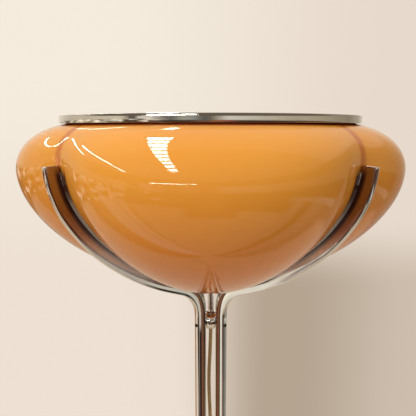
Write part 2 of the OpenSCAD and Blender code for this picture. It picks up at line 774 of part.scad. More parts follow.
// A strap round both layers of the coil, on its far side
module coil_strap() {
    in_r = coil_r - coil_step*(COIL_TURNS_IN + CLIMB/360) - cord_w/2 - strap_gap;
    out_r = coil_r + cord_w/2 + strap_gap;
    h = coil_rise + cord_t + 2*strap_gap;
    color("#f2efe8")
    translate([coil_c.x - strap_w/2, coil_c.y, 0])
    difference() {
        translate([0, in_r - strap_t, 0]) cube([strap_w, out_r - in_r + 2*strap_t, h + 2*strap_t]);
        translate([-1, in_r, strap_t]) cube([strap_w + 2, out_r - in_r, h]);
    }
}

// The sleeve under the lower ball, hollowed to sit on it
module cord_bush() {
    h = SLEEVE_L + BUSH_SEAT;
    color("#2b2622")
    translate([0, 0, exit_z])
    difference() {
        cylinder(d1 = SLEEVE_TIP, d2 = BUSH_D, h = h);
        translate([0, 0, -1]) cylinder(d = ball_bore, h = h + 2);
        translate([0, 0, low_ball_z - exit_z]) sphere(d = ball_d);
    }
}

// Outline of the foot switch: a bar with round ends, along Y
module switch_outline(inset) {
    r = switch_w/2 - inset;
    reach = switch_l/2 - switch_w/2;
    square([2*r, 2*reach], center = true);
    for (s = [-1, 1])
        translate([0, s*reach])
        circle(r = r);
}

module at_switch(z) {
    translate([SWITCH_AT.x, SWITCH_AT.y, z])
    children();
}

// Its floor, with a step that lies inside the cover's walls
BASE_H = 4;
POST_Y = 27;
POST_D = 6;
POST_SCREW_D = 2.5;
HEAD_H = 1.2;
HEAD_UP = 0.2;
module switch_base() {
    color("#3b2a20")
    at_switch(0)
    difference() {
        union() {
            linear_extrude(switch_wall) switch_outline(0);
            linear_extrude(BASE_H) switch_outline(switch_wall + screw_gap);
        }
        for (s = [-1, 1])
            translate([0, s*POST_Y, -1]) {
                cylinder(d = POST_SCREW_D + 4*screw_gap, h = BASE_H + 2);
                cylinder(d = POST_D + 2*screw_gap, h = 1 + HEAD_UP + HEAD_H);
            }
    }
}

// A round bar along Y through an end of the switch, from a distance off its middle outwards
module through_end(s, from, d, h, tip) {
    translate([0, s*from, CORD_Z])
    rotate([-90*s, 0, 0])
    cylinder(d1 = d, d2 = tip, h = h);
}

// The cover: a shell with the button's hole, a collar round each grip, and two posts
// that take the screws
COLLAR_H = 4;
module switch_cover() {
    hole_d = GRIP_D + 2*screw_gap;
    color("#4a3426")
    at_switch(0) {
        difference() {
            union() {
                translate([0, 0, switch_wall])
                linear_extrude(switch_h - switch_wall)
                switch_outline(0);
                for (s = [-1, 1])
                    through_end(s, switch_l/2 - switch_wall - 1, GRIP_D + 2, COLLAR_H, GRIP_D + 2);
            }
            linear_extrude(switch_h - switch_wall) switch_outline(switch_wall);
            cylinder(d = button_d + 2*button_gap, h = switch_h + 1);
            for (s = [-1, 1])
                through_end(s, switch_l/2 - 2*switch_wall, hole_d, SLEEVE_L, hole_d);
        }
        for (s = [-1, 1])
            translate([0, s*POST_Y, BASE_H + screw_gap])
            tube(POST_D, POST_SCREW_D + screw_gap, switch_h - switch_wall - BASE_H);
    }
}

module switch_screws() {
    color("silver")
    for (s = [-1, 1])
        at_switch(HEAD_UP)
        translate([0, s*POST_Y, 0]) {
            cylinder(d = POST_D, h = HEAD_H);
            cylinder(d = POST_SCREW_D, h = 2*BASE_H);
        }
}

// The button and the flange that keeps it under the cover
FLANGE_T = 2;
flange_z = switch_h - switch_wall - FLANGE_T;
module switch_button() {
    color("#d9cbb0")
    at_switch(flange_z) {
        cylinder(d = button_d + 2*FLANGE_T, h = FLANGE_T);
        cylinder(d = button_d, h = FLANGE_T + switch_wall + button_rise);
    }
}

// The contact block, on which the button's spring stands; pressed, the spring is this long
SPRING_SHORT = 5;
SPRING_D = 10;
WIRE_D = 0.8;
contacts_top = flange_z - button_travel - SPRING_SHORT;
module switch_contacts() {
    color("ivory")
    at_switch((BASE_H + contacts_top)/2)
    cube([switch_w/2, button_d + POST_D, contacts_top - BASE_H], center = true);
}

module switch_spring() {
    color("silver")
    at_switch(contacts_top)
    tube(SPRING_D, SPRING_D - 2*WIRE_D, flange_z - contacts_top);
}

// The sleeves at both ends of the switch, plain inside its cover and tapered outside
module cord_grips() {
    color("#2b2622")
    at_switch(0)
    for (s = [-1, 1]) {
        through_end(s, switch_l/2 - 2*switch_wall, GRIP_D, 2*switch_wall + 1, GRIP_D);
        through_end(s, switch_l/2 + 1, GRIP_D, SLEEVE_L - 1, SLEEVE_TIP);
    }
}

// A round bar on each pin's axis, from a distance inside the plug's front outwards
module at_pins(d, from, h) {
    for (s = [-1, 1])
        translate([PLUG_AT.x + s*pin_span/2, PLUG_AT.y - plug_l + from, plug_t/2])
        rotate([90, 0, 0])
        cylinder(d = d, h = h);
}

PIN_GAP = 0.05;
PIN_ROOT_D = pin_d - 1;
module plug_body() {
    tail = plug_w/4;
    shoulder = plug_l/2;
    color("#efe9dc")
    difference() {
        translate([PLUG_AT.x, PLUG_AT.y - plug_l, 0])
        linear_extrude(plug_t)
        polygon([[-plug_w/2, 0], [plug_w/2, 0], [plug_w/2, shoulder], [tail, plug_l],
            [-tail, plug_l], [-plug_w/2, shoulder]]);
        at_pins(PIN_ROOT_D + 2*PIN_GAP, pin_bite, pin_bite + 1);
    }
    color("#efe9dc")
    translate([PLUG_AT.x, PLUG_AT.y, plug_t/2])
    rotate([-90, 0, 0])
    cylinder(d1 = GRIP_D + 1, d2 = SLEEVE_TIP, h = SLEEVE_L);
}

// Pins with a thinner root that the plug is moulded round
module plug_pins() {
    color("silver") {
        at_pins(PIN_ROOT_D, pin_bite, pin_bite + 1);
        at_pins(pin_d, 0, pin_l);
    }
}

bar(ALL_AZ[0]);  // bar_front_left
bar(ALL_AZ[1]);  // bar_front_right
bar(ALL_AZ[2]);  // bar_rear_right
bar(ALL_AZ[3]);  // bar_rear_left
foot_pads();
ball(BALL_Z[0], pipe_seat);  // top_ball
ball(BALL_Z[1], 0);  // middle_ball
ball(BALL_Z[2], 0);  // lower_ball
bar_screws(BALL_Z[0]);  // top_screws
bar_screws(BALL_Z[1]);  // middle_screws
bar_screws(BALL_Z[2]);  // lower_screws
shade();
top_ring();
arm_bumpers();
lamp_pipe();
support_nut();
lower_washer();
shade_gaskets();
upper_washer();
shade_nut();
hub_body();
hub_nuts();
hub_lid();
lid_screw();
terminal_block();
holder_branches();
holder(HOLDER_AZ[0]);  // holder_front
holder(HOLDER_AZ[1]);  // holder_right
holder(HOLDER_AZ[2]);  // holder_rear
holder(HOLDER_AZ[3]);  // holder_left
bulb(HOLDER_AZ[0]);  // bulb_front
bulb(HOLDER_AZ[1]);  // bulb_right
bulb(HOLDER_AZ[2]);  // bulb_rear
bulb(HOLDER_AZ[3]);  // bulb_left
cap(HOLDER_AZ[0]);  // cap_front
cap(HOLDER_AZ[1]);  // cap_right
cap(HOLDER_AZ[2]);  // cap_rear
cap(HOLDER_AZ[3]);  // cap_left
stem_cord();
cord_bush();
cord_to_switch();
cord_to_coil();
cord_coil();
cord_to_plug();
coil_strap();
switch_base();
switch_cover();
switch_button();
switch_spring();
switch_contacts();
switch_screws();
cord_grips();
plug_body();
plug_pins();
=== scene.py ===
import math
from functools import partial

import bmesh
import bpy
from mathutils import Matrix, Vector


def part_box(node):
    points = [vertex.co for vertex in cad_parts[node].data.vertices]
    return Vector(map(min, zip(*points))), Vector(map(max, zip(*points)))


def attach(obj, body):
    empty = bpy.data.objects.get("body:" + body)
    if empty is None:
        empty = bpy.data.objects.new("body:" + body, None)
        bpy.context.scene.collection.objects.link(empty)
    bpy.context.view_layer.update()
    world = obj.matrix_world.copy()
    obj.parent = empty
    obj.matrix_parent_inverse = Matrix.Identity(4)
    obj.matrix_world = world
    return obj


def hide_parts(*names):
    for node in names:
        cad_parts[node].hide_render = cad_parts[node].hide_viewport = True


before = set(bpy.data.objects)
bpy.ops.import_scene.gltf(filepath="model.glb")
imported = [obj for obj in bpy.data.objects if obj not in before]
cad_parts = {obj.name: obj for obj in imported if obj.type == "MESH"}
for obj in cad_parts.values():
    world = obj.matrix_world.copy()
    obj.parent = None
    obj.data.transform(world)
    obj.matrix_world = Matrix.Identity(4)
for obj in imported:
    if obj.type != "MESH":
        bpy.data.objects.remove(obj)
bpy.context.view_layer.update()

# The room: a camera at the height of the bowl, soft light from a window high on the left,
# and a pale wall behind. What stands in front of the lamp, a dim room with a slatted roof
# window, shows only in the gloss of chrome and acrylic.
EYE = (0.0, -0.6834, 1.2848)
EYE_TILT = 1.3938

camera = bpy.data.cameras.new("eye")
camera.lens = 38.94
camera.sensor_width = 36
camera.shift_x = -0.0065
camera.clip_end = 40
eye = bpy.data.objects.new("eye", camera)
eye.location = EYE
eye.rotation_euler = (EYE_TILT, 0, 0)
bpy.context.scene.collection.objects.link(eye)
bpy.context.scene.camera = eye
bpy.context.scene.view_settings.view_transform = "Standard"


def soft_lamp(name, at, towards, size, watts, colour):
    light = bpy.data.lights.new(name, "AREA")
    light.shape = "RECTANGLE"
    light.size, light.size_y = size
    light.energy = watts
    light.color = colour
    lamp = bpy.data.objects.new(name, light)
    lamp.location = at
    lamp.rotation_euler = (Vector(towards) - Vector(at)).to_track_quat("-Z", "Y").to_euler()
    lamp.visible_glossy = False
    bpy.context.scene.collection.objects.link(lamp)


soft_lamp("window_light", (-1.6, -2.0, 2.9), (0, 0, 1.15), (1.3, 1.1), 66, (1.0, 0.97, 0.93))
soft_lamp("room_light", (2.2, -1.8, 2.0), (0, 0, 0.9), (1.6, 1.6), 13, (1.0, 0.89, 0.76))
soft_lamp("ceiling_light", (0.2, 0.9, 3.2), (0, 0, 0.8), (2.4, 1.6), 26, (1.0, 0.98, 0.95))

# colours of the painted wall behind: where it is lit, lower down, to the right, and in the lamp's painted
# shadow
WALL_LIGHT, WALL_LOW, WALL_RIGHT = (0.91, 0.835, 0.72), (0.85, 0.75, 0.65), (0.80, 0.695, 0.60)
PAINTED_WALL_SHADOW = (0.46, 0.37, 0.28)
BLACK, DUSK, RED = (0.020, 0.014, 0.011), (0.16, 0.09, 0.06), (0.24, 0.045, 0.025)
CREAM, GREY, RUST = (0.86, 0.79, 0.69), (0.36, 0.33, 0.29), (0.50, 0.22, 0.10)
# What stands round the lamp, by the turn from the front in degrees, + to the right: first
# at eye level, where the ring sees it, then lower, where the stem and the arms do
AT_EYE_LEVEL = ((-180, WALL_LOW), (-145, (0.80, 0.71, 0.59)), (-116, (0.62, 0.53, 0.42)),
                (-86, (0.68, 0.58, 0.44)), (-68, (0.72, 0.64, 0.50)), (-61, (0.60, 0.51, 0.37)),
                (-58, (0.11, 0.10, 0.08)), (-53, (0.11, 0.10, 0.08)), (-50, CREAM),
                (-42, (0.76, 0.66, 0.55)), (-34, (0.40, 0.35, 0.29)), (-30, (0.17, 0.15, 0.13)),
                (-25, (0.18, 0.17, 0.15)), (-20, (0.40, 0.38, 0.31)), (-11, (0.33, 0.32, 0.29)),
                (-6, (0.14, 0.13, 0.11)), (-1, (0.14, 0.13, 0.11)), (4, (0.38, 0.33, 0.25)),
                (11, (0.76, 0.70, 0.62)), (30, (0.66, 0.60, 0.50)), (50, (0.52, 0.44, 0.34)),
                (80, (0.43, 0.36, 0.26)), (116, (0.30, 0.25, 0.18)), (135, (0.46, 0.38, 0.30)),
                (152, (0.76, 0.67, 0.56)), (180, WALL_LOW))
LOWER = ((-180, (0.60, 0.51, 0.42)), (-145, (0.40, 0.30, 0.22)), (-131, (0.26, 0.08, 0.04)),
         (-112, (0.30, 0.10, 0.05)), (-104, RUST), (-95, RUST), (-92, CREAM), (-78.5, CREAM),
         (-76.5, GREY), (-74.5, CREAM), (-71, CREAM), (-67, BLACK), (-52, BLACK), (-47, RED),
         (-43, BLACK), (-12, BLACK), (-8, DUSK), (-1, DUSK), (2, (0.32, 0.13, 0.06)),
         (6, (0.30, 0.11, 0.05)), (11, RED), (20, BLACK), (64, BLACK), (69, GREY),
         (73.5, (0.62, 0.57, 0.50)), (75, (0.11, 0.085, 0.07)), (77, (0.50, 0.45, 0.39)), (79, BLACK),
         (84, BLACK), (90, (0.42, 0.39, 0.34)), (112, (0.20, 0.17, 0.14)), (180, (0.60, 0.51, 0.42)))
FLOOR_LIGHT = (0.66, 0.53, 0.39)


def look(turn, rise):
    """A direction from its turn and its rise above level, in degrees."""
    t, r = math.radians(turn), math.radians(rise)
    return Vector((math.cos(r) * math.sin(t), -math.cos(r) * math.cos(t), math.sin(r)))


def fill(tree, socket, value):
    """Link a socket to another one, or give it a number or a colour."""
    if isinstance(value, bpy.types.NodeSocket):
        tree.links.new(value, socket)
    else:
        socket.default_value = (*value, 1) if isinstance(value, tuple) else value


def reckon(tree, kind, *values):
    """Arithmetic on sockets and numbers."""
    m = tree.nodes.new("ShaderNodeMath")
    m.operation = kind
    for socket, value in zip(m.inputs, values):
        fill(tree, socket, value)
    return m.outputs[0]


def ramp(tree, value, low, high):
    """0 at low and beyond, 1 at high and beyond, softly between; either may be the greater."""
    r = tree.nodes.new("ShaderNodeMapRange")
    r.interpolation_type = "SMOOTHSTEP"
    r.inputs["From Min"].default_value = low
    r.inputs["From Max"].default_value = high
    tree.links.new(value, r.inputs["Value"])
    return r.outputs["Result"]


def blend(tree, factor, first, second):
    """The first colour where the factor is 0, and the second where it is 1."""
    m = tree.nodes.new("ShaderNodeMix")
    m.data_type = "RGBA"
    for socket, value in (("Factor", factor), ("A", first), ("B", second)):
        fill(tree, m.inputs[socket], value)
    return m.outputs["Result"]


def room_sky():
    sky = bpy.data.worlds.new("room")
    bpy.context.scene.world = sky
    sky.use_nodes = True
    tree = sky.node_tree
    nodes, links = tree.nodes, tree.links
    nodes.clear()
    number, step, mix = partial(reckon, tree), partial(ramp, tree), partial(blend, tree)
    both = partial(reckon, tree, "MULTIPLY")
    out = nodes.new("ShaderNodeOutputWorld")
    where = nodes.new("ShaderNodeTexCoord")
    split = nodes.new("ShaderNodeSeparateXYZ")
    links.new(where.outputs["Generated"], split.inputs[0])
    x, y, z = split.outputs

    def along(direction):
        d = nodes.new("ShaderNodeVectorMath")
        d.operation = "DOT_PRODUCT"
        links.new(where.outputs["Generated"], d.inputs[0])
        d.inputs[1].default_value = direction
        return d.outputs["Value"]

    def glow(colour, strength):
        b = nodes.new("ShaderNodeBackground")
        fill(tree, b.inputs["Color"], colour)
        b.inputs["Strength"].default_value = strength
        return b.outputs[0]

    turn = number("MULTIPLY_ADD", number("ARCTAN2", x, number("MULTIPLY", y, -1.0)), 0.5 / math.pi, 0.5)

    def all_round(stops):
        r = nodes.new("ShaderNodeValToRGB")
        links.new(turn, r.inputs[0])
        places = r.color_ramp.elements
        for k, (degrees, colour) in enumerate(stops):
            at = degrees / 360 + 0.5
            stop = places[k] if k < 2 else places.new(at)
            stop.position = at
            stop.color = (*colour, 1)
        return r.outputs["Color"]

    def bar_of_light(start, end, half_wide, taper=0.0):
        """A straight bar of light between two directions: where it is, and the share along it."""
        a, b = look(*start), look(*end)
        pole, middle = a.cross(b).normalized(), (a + b).normalized()
        half_long = a.angle(b) / 2
        way = number("ARCTAN2", along(pole.cross(middle)), along(middle))
        wide = number("MULTIPLY_ADD", way, taper / half_long, half_wide)
        inside = step(number("DIVIDE", number("ABSOLUTE", along(pole)), wide), 1.06, 0.94)
        ends = step(number("ABSOLUTE", way), 1.01 * half_long, 0.99 * half_long)
        return both(inside, ends), number("MULTIPLY_ADD", way, 0.5 / half_long, 0.5)

    # the ceiling is pale, more so behind the lamp, and the room below it dim
    ceiling = mix(step(x, -0.75, -0.25), (0.62, 0.56, 0.48), (0.44, 0.39, 0.33))
    ceiling = mix(step(y, -0.03, 0.03), ceiling, (0.72, 0.66, 0.58))
    room = mix(step(z, -0.20, -0.09), all_round(LOWER), all_round(AT_EYE_LEVEL))
    off_front = number("ABSOLUTE", number("SUBTRACT", turn, 0.5))
    beside = number("ABSOLUTE", number("SUBTRACT", off_front, 0.25))
    # a dark doorway on the right with something pale at its foot, and a shelf high in front
    on_right = both(step(beside, 0.085, 0.065), step(x, 0.1, 0.2))
    low_right = both(step(z, -0.37, -0.33), step(z, -0.10, -0.14))
    room = mix(both(on_right, low_right), room, (0.13, 0.070, 0.045))
    pale_right = both(step(z, -0.435, -0.415), step(z, -0.345, -0.365))
    room = mix(both(on_right, pale_right), room, (0.62, 0.57, 0.49))
    room = mix(both(step(z, 0.10, 0.15), step(y, 0.30, -0.10)), room, (0.16, 0.12, 0.09))
    room = mix(step(z, 0.30, 0.40), room, ceiling)
    # boxes and papers in low heaps on the left
    grain = nodes.new("ShaderNodeTexNoise")
    grain.inputs["Scale"].default_value = 9.0
    grain.inputs["Detail"].default_value = 2.0
    links.new(where.outputs["Generated"], grain.inputs["Vector"])
    clutter = both(step(x, -0.45, -0.65), both(step(z, -0.42, -0.34), step(z, 0.0, -0.06)))
    room = mix(both(clutter, step(grain.outputs[0], 0.55, 0.585)), room, (1.25, 1.12, 0.90))
    room = mix(both(clutter, step(grain.outputs[0], 0.46, 0.43)), room, (0.10, 0.06, 0.04))
    # the lit floor, but for what stands on it beside and before the lamp
    floor_seen = both(step(along((0.105, -0.10, 1.0)), -0.47, -0.52), step(beside, 0.05, 0.08))
    off_middle = number("MAXIMUM", step(off_front, 0.05, 0.07), step(z, -0.68, -0.74))
    room = mix(both(floor_seen, off_middle), room, FLOOR_LIGHT)
    # the slatted roof window and four thin lines of light, one of them broken into seven
    slatted, share = bar_of_light((-28, 36.5), (-151.5, 58.8), 0.058, 0.011)
    slats = step(number("FRACT", number("MULTIPLY", share, 10.0)), 0.22, 0.34)
    room = mix(both(slatted, slats), room, (26.0, 25.0, 23.5))
    for start, end, half_wide, bright, dashes in (
            ((-121, 29.5), (-65, 23), 0.010, 22.0, 1), ((-44, 9), (-10, 12.5), 0.012, 30.0, 7),
            ((-176, 27), (-158, 29), 0.015, 12.0, 1), ((-107, 22.2), (-134, 25), 0.009, 15.0, 1)):
        lit, share = bar_of_light(start, end, half_wide)
        if dashes > 1:
            lit = both(lit, step(number("FRACT", number("MULTIPLY", share, dashes)), 0.10, 0.25))
        room = mix(lit, room, (bright, 0.97 * bright, 0.9 * bright))

    # the wall behind, painted into the world for camera rays: painted light, brightest on the upper left and
    # dimmer low and to the right, and a painted soft shadow of the lamp low on the right
    across, level = number("DIVIDE", x, y), number("DIVIDE", z, y)
    wall = mix(step(across, -0.25, 0.42), mix(step(level, -0.35, 0.10), WALL_LOW, WALL_LIGHT), WALL_RIGHT)
    # the painted shadow of the lamp on the wall
    shade = both(step(across, -0.09, 0.14), step(level, -0.20, -0.37))
    shade = both(shade, number("MULTIPLY_ADD", step(across, 0.20, 0.48), -0.42, 1.0))
    wall = mix(both(shade, step(y, 0.1, 0.4)), wall, PAINTED_WALL_SHADOW)
    wall = mix(step(y, 0.05, 0.35), WALL_RIGHT, wall)
    path = nodes.new("ShaderNodeLightPath")
    polish = number("MAXIMUM", path.outputs["Is Glossy Ray"], path.outputs["Is Transmission Ray"])
    gloss = nodes.new("ShaderNodeMixShader")
    seen = nodes.new("ShaderNodeMixShader")
    links.new(polish, gloss.inputs[0])
    links.new(glow((0.88, 0.84, 0.79), 0.40), gloss.inputs[1])
    links.new(glow(room, 1.0), gloss.inputs[2])
    links.new(path.outputs["Is Camera Ray"], seen.inputs[0])
    links.new(gloss.outputs[0], seen.inputs[1])
    links.new(glow(wall, 1.0), seen.inputs[2])
    links.new(seen.outputs[0], out.inputs[0])


room_sky()


def grid(name, size, z):
    mesh = bpy.data.meshes.new(name)
    bm = bmesh.new()
    bmesh.ops.create_grid(bm, x_segments=2, y_segments=2, size=size)
    bmesh.ops.translate(bm, vec=(0, 0, z), verts=bm.verts)
    bm.to_mesh(mesh)
    bm.free()
    sheet = bpy.data.objects.new(name, mesh)
    bpy.context.scene.collection.objects.link(sheet)
    return sheet


def start_finish(name, colour, rough, metal=0.0):
    finish = bpy.data.materials.new(name)
    finish.use_nodes = True
    shader = finish.node_tree.nodes["Principled BSDF"]
    shader.inputs["Base Color"].default_value = (*colour, 1)
    shader.inputs["Roughness"].default_value = rough
    shader.inputs["Metallic"].default_value = metal
    return finish, finish.node_tree, shader


# the floor fades into the wall's colour away from the lamp, and keeps its shadow near it
floor = grid("floor", 1.3, 0.0)
floor.visible_glossy = False
floor_paint, tree, shader = start_finish("floor_paint", (0.90, 0.81, 0.71), 0.75)
place = tree.nodes.new("ShaderNodeTexCoord")
reach = tree.nodes.new("ShaderNodeVectorMath")
reach.operation = "LENGTH"
tree.links.new(place.outputs["Object"], reach.inputs[0])
tree.links.new(ramp(tree, reach.outputs["Value"], 1.10, 0.70), shader.inputs["Alpha"])
floor.data.materials.append(floor_paint)

# The gold flat cord: two cores side by side in clear golden plastic, moulded as one.
# It drops from the hub down the pipe and the stem, leaves through the bush at the foot,
# and runs over the floor to the foot switch, the coiled spare and the plug.
CORD_WIDE, CORD_THICK = 0.006, 0.003
SWITCH_AT, SWITCH_HALF = (0.060, 0.420), 0.037
CORD_Z = 0.0088
EXIT_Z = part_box("cord_bush")[0].z
COIL_AT, COIL_R, COIL_STEP, COIL_Z, COIL_RISE = (0.018, 0.560), 0.042, 0.0066, 0.0026, 0.0036
COIL_TURNS, COIL_CLIMB = 2.25, 90
SLEEVE = 0.020
SWITCH_NEAR, SWITCH_FAR = SWITCH_AT[1] - SWITCH_HALF - SLEEVE, SWITCH_AT[1] + SWITCH_HALF + SLEEVE
TO_SWITCH = [(0, 0, EXIT_Z), (0, 0, 0.150), (0, 0.008, 0.112), (0, 0.032, 0.066), (0, 0.072, 0.025),
             (0, 0.115, 0.005), (0.002, 0.160, 0.002), (0.012, 0.215, 0.002), (0.034, 0.268, 0.002),
             (0.054, 0.315, 0.0026), (0.060, 0.345, 0.0076), (0.060, SWITCH_NEAR, CORD_Z)]
TO_COIL = [(0.060, SWITCH_FAR, CORD_Z), (0.060, 0.494, 0.0074), (0.060, 0.520, 0.0029),
           (0.060, 0.542, COIL_Z), (0.060, 0.560, COIL_Z)]
TO_PLUG = [(-0.024, 0.560, COIL_Z + COIL_RISE), (-0.024, 0.540, 0.0054), (-0.024, 0.512, 0.0024),
           (-0.024, 0.484, 0.004), (-0.024, 0.440 + SLEEVE, 0.00685)]
TOP_BALL_Z, MIDDLE_BALL_Z, LOWER_BALL_Z = (
    (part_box(ball)[0].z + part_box(ball)[1].z) / 2 for ball in ("top_ball", "middle_ball", "lower_ball"))
IN_STEM = [(0, 0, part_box("stem_cord")[1].z), (0, 0, TOP_BALL_Z + 0.020), (0, 0, TOP_BALL_Z - 0.016),
           (-0.001, 0, TOP_BALL_Z - 0.050), (-0.003, 0.001, TOP_BALL_Z - 0.110),
           (0, 0.001, TOP_BALL_Z - 0.200), (0.002, 0, TOP_BALL_Z - 0.300),
           (0, 0, MIDDLE_BALL_Z + 0.018), (0, 0, MIDDLE_BALL_Z - 0.018),
           (-0.002, 0, MIDDLE_BALL_Z - 0.100), (0.001, 0.001, MIDDLE_BALL_Z - 0.240),
           (0, 0, LOWER_BALL_Z + 0.018), (0, 0, EXIT_Z)]


def smooth_line(points, steps):
    """The curve that runs through the points, with that many steps from each to the next."""
    p = [Vector(q) for q in points]
    line = []
    for i in range(len(p) - 1):
        a, b, c, d = p[max(i - 1, 0)], p[i], p[i + 1], p[min(i + 2, len(p) - 1)]
        for k in range(steps):
            t = k / steps
            line.append(0.5 * (2 * b + (c - a) * t + (2 * a - 5 * b + 4 * c - d) * t * t
                               + (3 * b - a - 3 * c + d) * t ** 3))
    return line + [p[-1]]


def coil_line(steps_a_turn):
    """The coil: it winds in, climbs onto itself and winds out again."""
    turn_in = 360 * COIL_TURNS
    climb_to = turn_in + COIL_CLIMB
    line = []
    for k in range(int(2 * turn_in * steps_a_turn / 360) + 1):
        a = k * 360 / steps_a_turn
        if a < climb_to:
            inside = a
        elif a > turn_in + 360:
            inside = 2 * turn_in - a
        else:
            inside = climb_to - (360 + COIL_CLIMB) * (a - climb_to) / (360 - COIL_CLIMB)
        up = (1 - math.cos(math.pi * min(max((a - turn_in) / COIL_CLIMB, 0), 1))) / 2
        r = COIL_R - COIL_STEP * inside / 360
        x, y = r * math.cos(math.radians(a)), r * math.sin(math.radians(a))
        line.append(Vector((COIL_AT[0] + x, COIL_AT[1] + y, COIL_Z + COIL_RISE * up)))
    return line


def mesh_piece(name, vertices, faces, smooth_to=35):
    """A piece from its points and faces, smooth wherever it bends less than that angle."""
    mesh = bpy.data.meshes.new(name)
    bm = bmesh.new()
    made = [bm.verts.new(v) for v in vertices]
    for f in faces:
        if len(set(f)) > 2:
            bm.faces.new([made[i] for i in f])
    bmesh.ops.remove_doubles(bm, verts=bm.verts, dist=1e-7)
    bmesh.ops.dissolve_degenerate(bm, edges=bm.edges, dist=1e-7)
    bmesh.ops.recalc_face_normals(bm, faces=bm.faces)
    for f in bm.faces:
        f.smooth = True
    bm.to_mesh(mesh)
    bm.free()
    mesh.set_sharp_from_angle(angle=math.radians(smooth_to))
    piece = bpy.data.objects.new(name, mesh)
    bpy.context.scene.collection.objects.link(piece)
    return piece


def laid_faces(rows, around, closed=False, capped=True):
    """Faces between rows of points that each go once round."""
    faces = []
    for i in range(rows if closed else rows - 1):
        a, b = i * around, (i + 1) % rows * around
        for j in range(around):
            k = (j + 1) % around
            faces.append((a + j, a + k, b + k, b + j))
    if capped and not closed:
        faces.append(tuple(range(around))[::-1])
        faces.append(tuple(range((rows - 1) * around, rows * around)))
    return faces


def twin_outline(steps):
    """Outline of the two cores side by side, with the dip between them."""
    r = CORD_THICK / 2
    points = []
    for side in (1, -1):
        for k in range(steps + 1):
            a = math.radians((-140 if side > 0 else 40) + 280 * k / steps)
            points.append((side * (CORD_WIDE / 2 - r) + r * math.cos(a), r * math.sin(a)))
    return points


def cord_piece(name, line, first, last):
    """The flat cord along a line, with its two end directions; it lies flat where it can."""
    outline = twin_outline(9)
    vertices = []
    for i, at in enumerate(line):
        along = (line[min(i + 1, len(line) - 1)] - line[max(i - 1, 0)]).normalized()
        if i in (0, len(line) - 1):
            along = Vector(last if i else first)
        flat = Vector((along.x, along.y, 0))
        flat = flat.normalized() if flat.length > 0.3 else Vector((0, 1, 0))
        side = flat.cross(Vector((0, 0, 1)))
        up = side.cross(along).normalized()
        vertices += [at + side * u + up * v for u, v in outline]
    return mesh_piece(name, vertices, laid_faces(len(line), len(outline)), 60)


def speckle(tree, low, high, scale, detail=3.0, stretch=(1, 1, 1)):
    """A noise between two values, in the object's own metres."""
    place = tree.nodes.new("ShaderNodeTexCoord")
    drawn = tree.nodes.new("ShaderNodeMapping")
    drawn.inputs["Scale"].default_value = stretch
    cloud = tree.nodes.new("ShaderNodeTexNoise")
    cloud.inputs["Scale"].default_value = scale
    cloud.inputs["Detail"].default_value = detail
    span = tree.nodes.new("ShaderNodeMapRange")
    for socket, value in (("From Min", 0.3), ("From Max", 0.7), ("To Min", low), ("To Max", high)):
        span.inputs[socket].default_value = value
    tree.links.new(place.outputs["Object"], drawn.inputs[0])
    tree.links.new(drawn.outputs[0], cloud.inputs["Vector"])
    tree.links.new(cloud.outputs["Fac"], span.inputs["Value"])
    return span.outputs["Result"]


def mottled(name, tones, shine, relief=None, metal=0.0, more={}):
    """A finish in two tones, with an uneven shine and, where it is given, a fine relief.

    Tones start with two colours, shine with its lowest and highest roughness, and relief with
    its strength and depth. Each ends with its noise: the scale, the detail and the stretch.
    """
    first, second, *grain = tones
    finish, tree, shader = start_finish(name, first, shine[0], metal)
    tree.links.new(blend(tree, speckle(tree, 0, 1, *grain), first, second), shader.inputs["Base Color"])
    tree.links.new(speckle(tree, *shine), shader.inputs["Roughness"])
    if relief:
        strength, distance, *grain = relief
        bump = tree.nodes.new("ShaderNodeBump")
        bump.inputs["Strength"].default_value = strength
        bump.inputs["Distance"].default_value = distance
        tree.links.new(speckle(tree, 0, 1, *grain), bump.inputs["Height"])
        tree.links.new(bump.outputs[0], shader.inputs["Normal"])
    for socket, value in more.items():
        shader.inputs[socket].default_value = value
    return finish


def fit(piece, finish, slot, *nodes, body="lamp"):
    """Gives a piece its finish and its body, and puts it in place of its plain solids."""
    piece.data.materials.append(finish)
    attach(piece, body)
    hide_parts(*nodes)


gold_plastic = mottled("gold_cord_plastic", ((0.49, 0.33, 0.14), (0.63, 0.44, 0.21), 60), (0.20, 0.42, 400),
                       (0.15, 0.0002, 900),
                       more={"Subsurface Weight": 0.25, "Subsurface Scale": 0.002,
                             "Subsurface Radius": (1.0, 0.6, 0.3), "Coat Weight": 0.3})

DOWN, AWAY, BACK = (0, 0, -1), (0, 1, 0), (0, -1, 0)
stem_lead = cord_piece("lead_in_stem", smooth_line(IN_STEM, 8), DOWN, DOWN)
fit(stem_lead, gold_plastic, "cord_gold", "stem_cord")


switch_line = smooth_line(TO_SWITCH, 8)
lead_to_switch = cord_piece("lead_to_switch", switch_line, DOWN, AWAY)
plug_line = smooth_line(TO_COIL, 6)[:-1] + coil_line(48) + smooth_line(TO_PLUG, 6)[1:]
lead_to_plug = cord_piece("lead_to_plug", plug_line, AWAY, BACK)
fit(lead_to_switch, gold_plastic, "cord_gold", "cord_to_switch")
fit(lead_to_plug, gold_plastic, "cord_gold", "cord_to_coil", "cord_coil", "cord_to_plug")

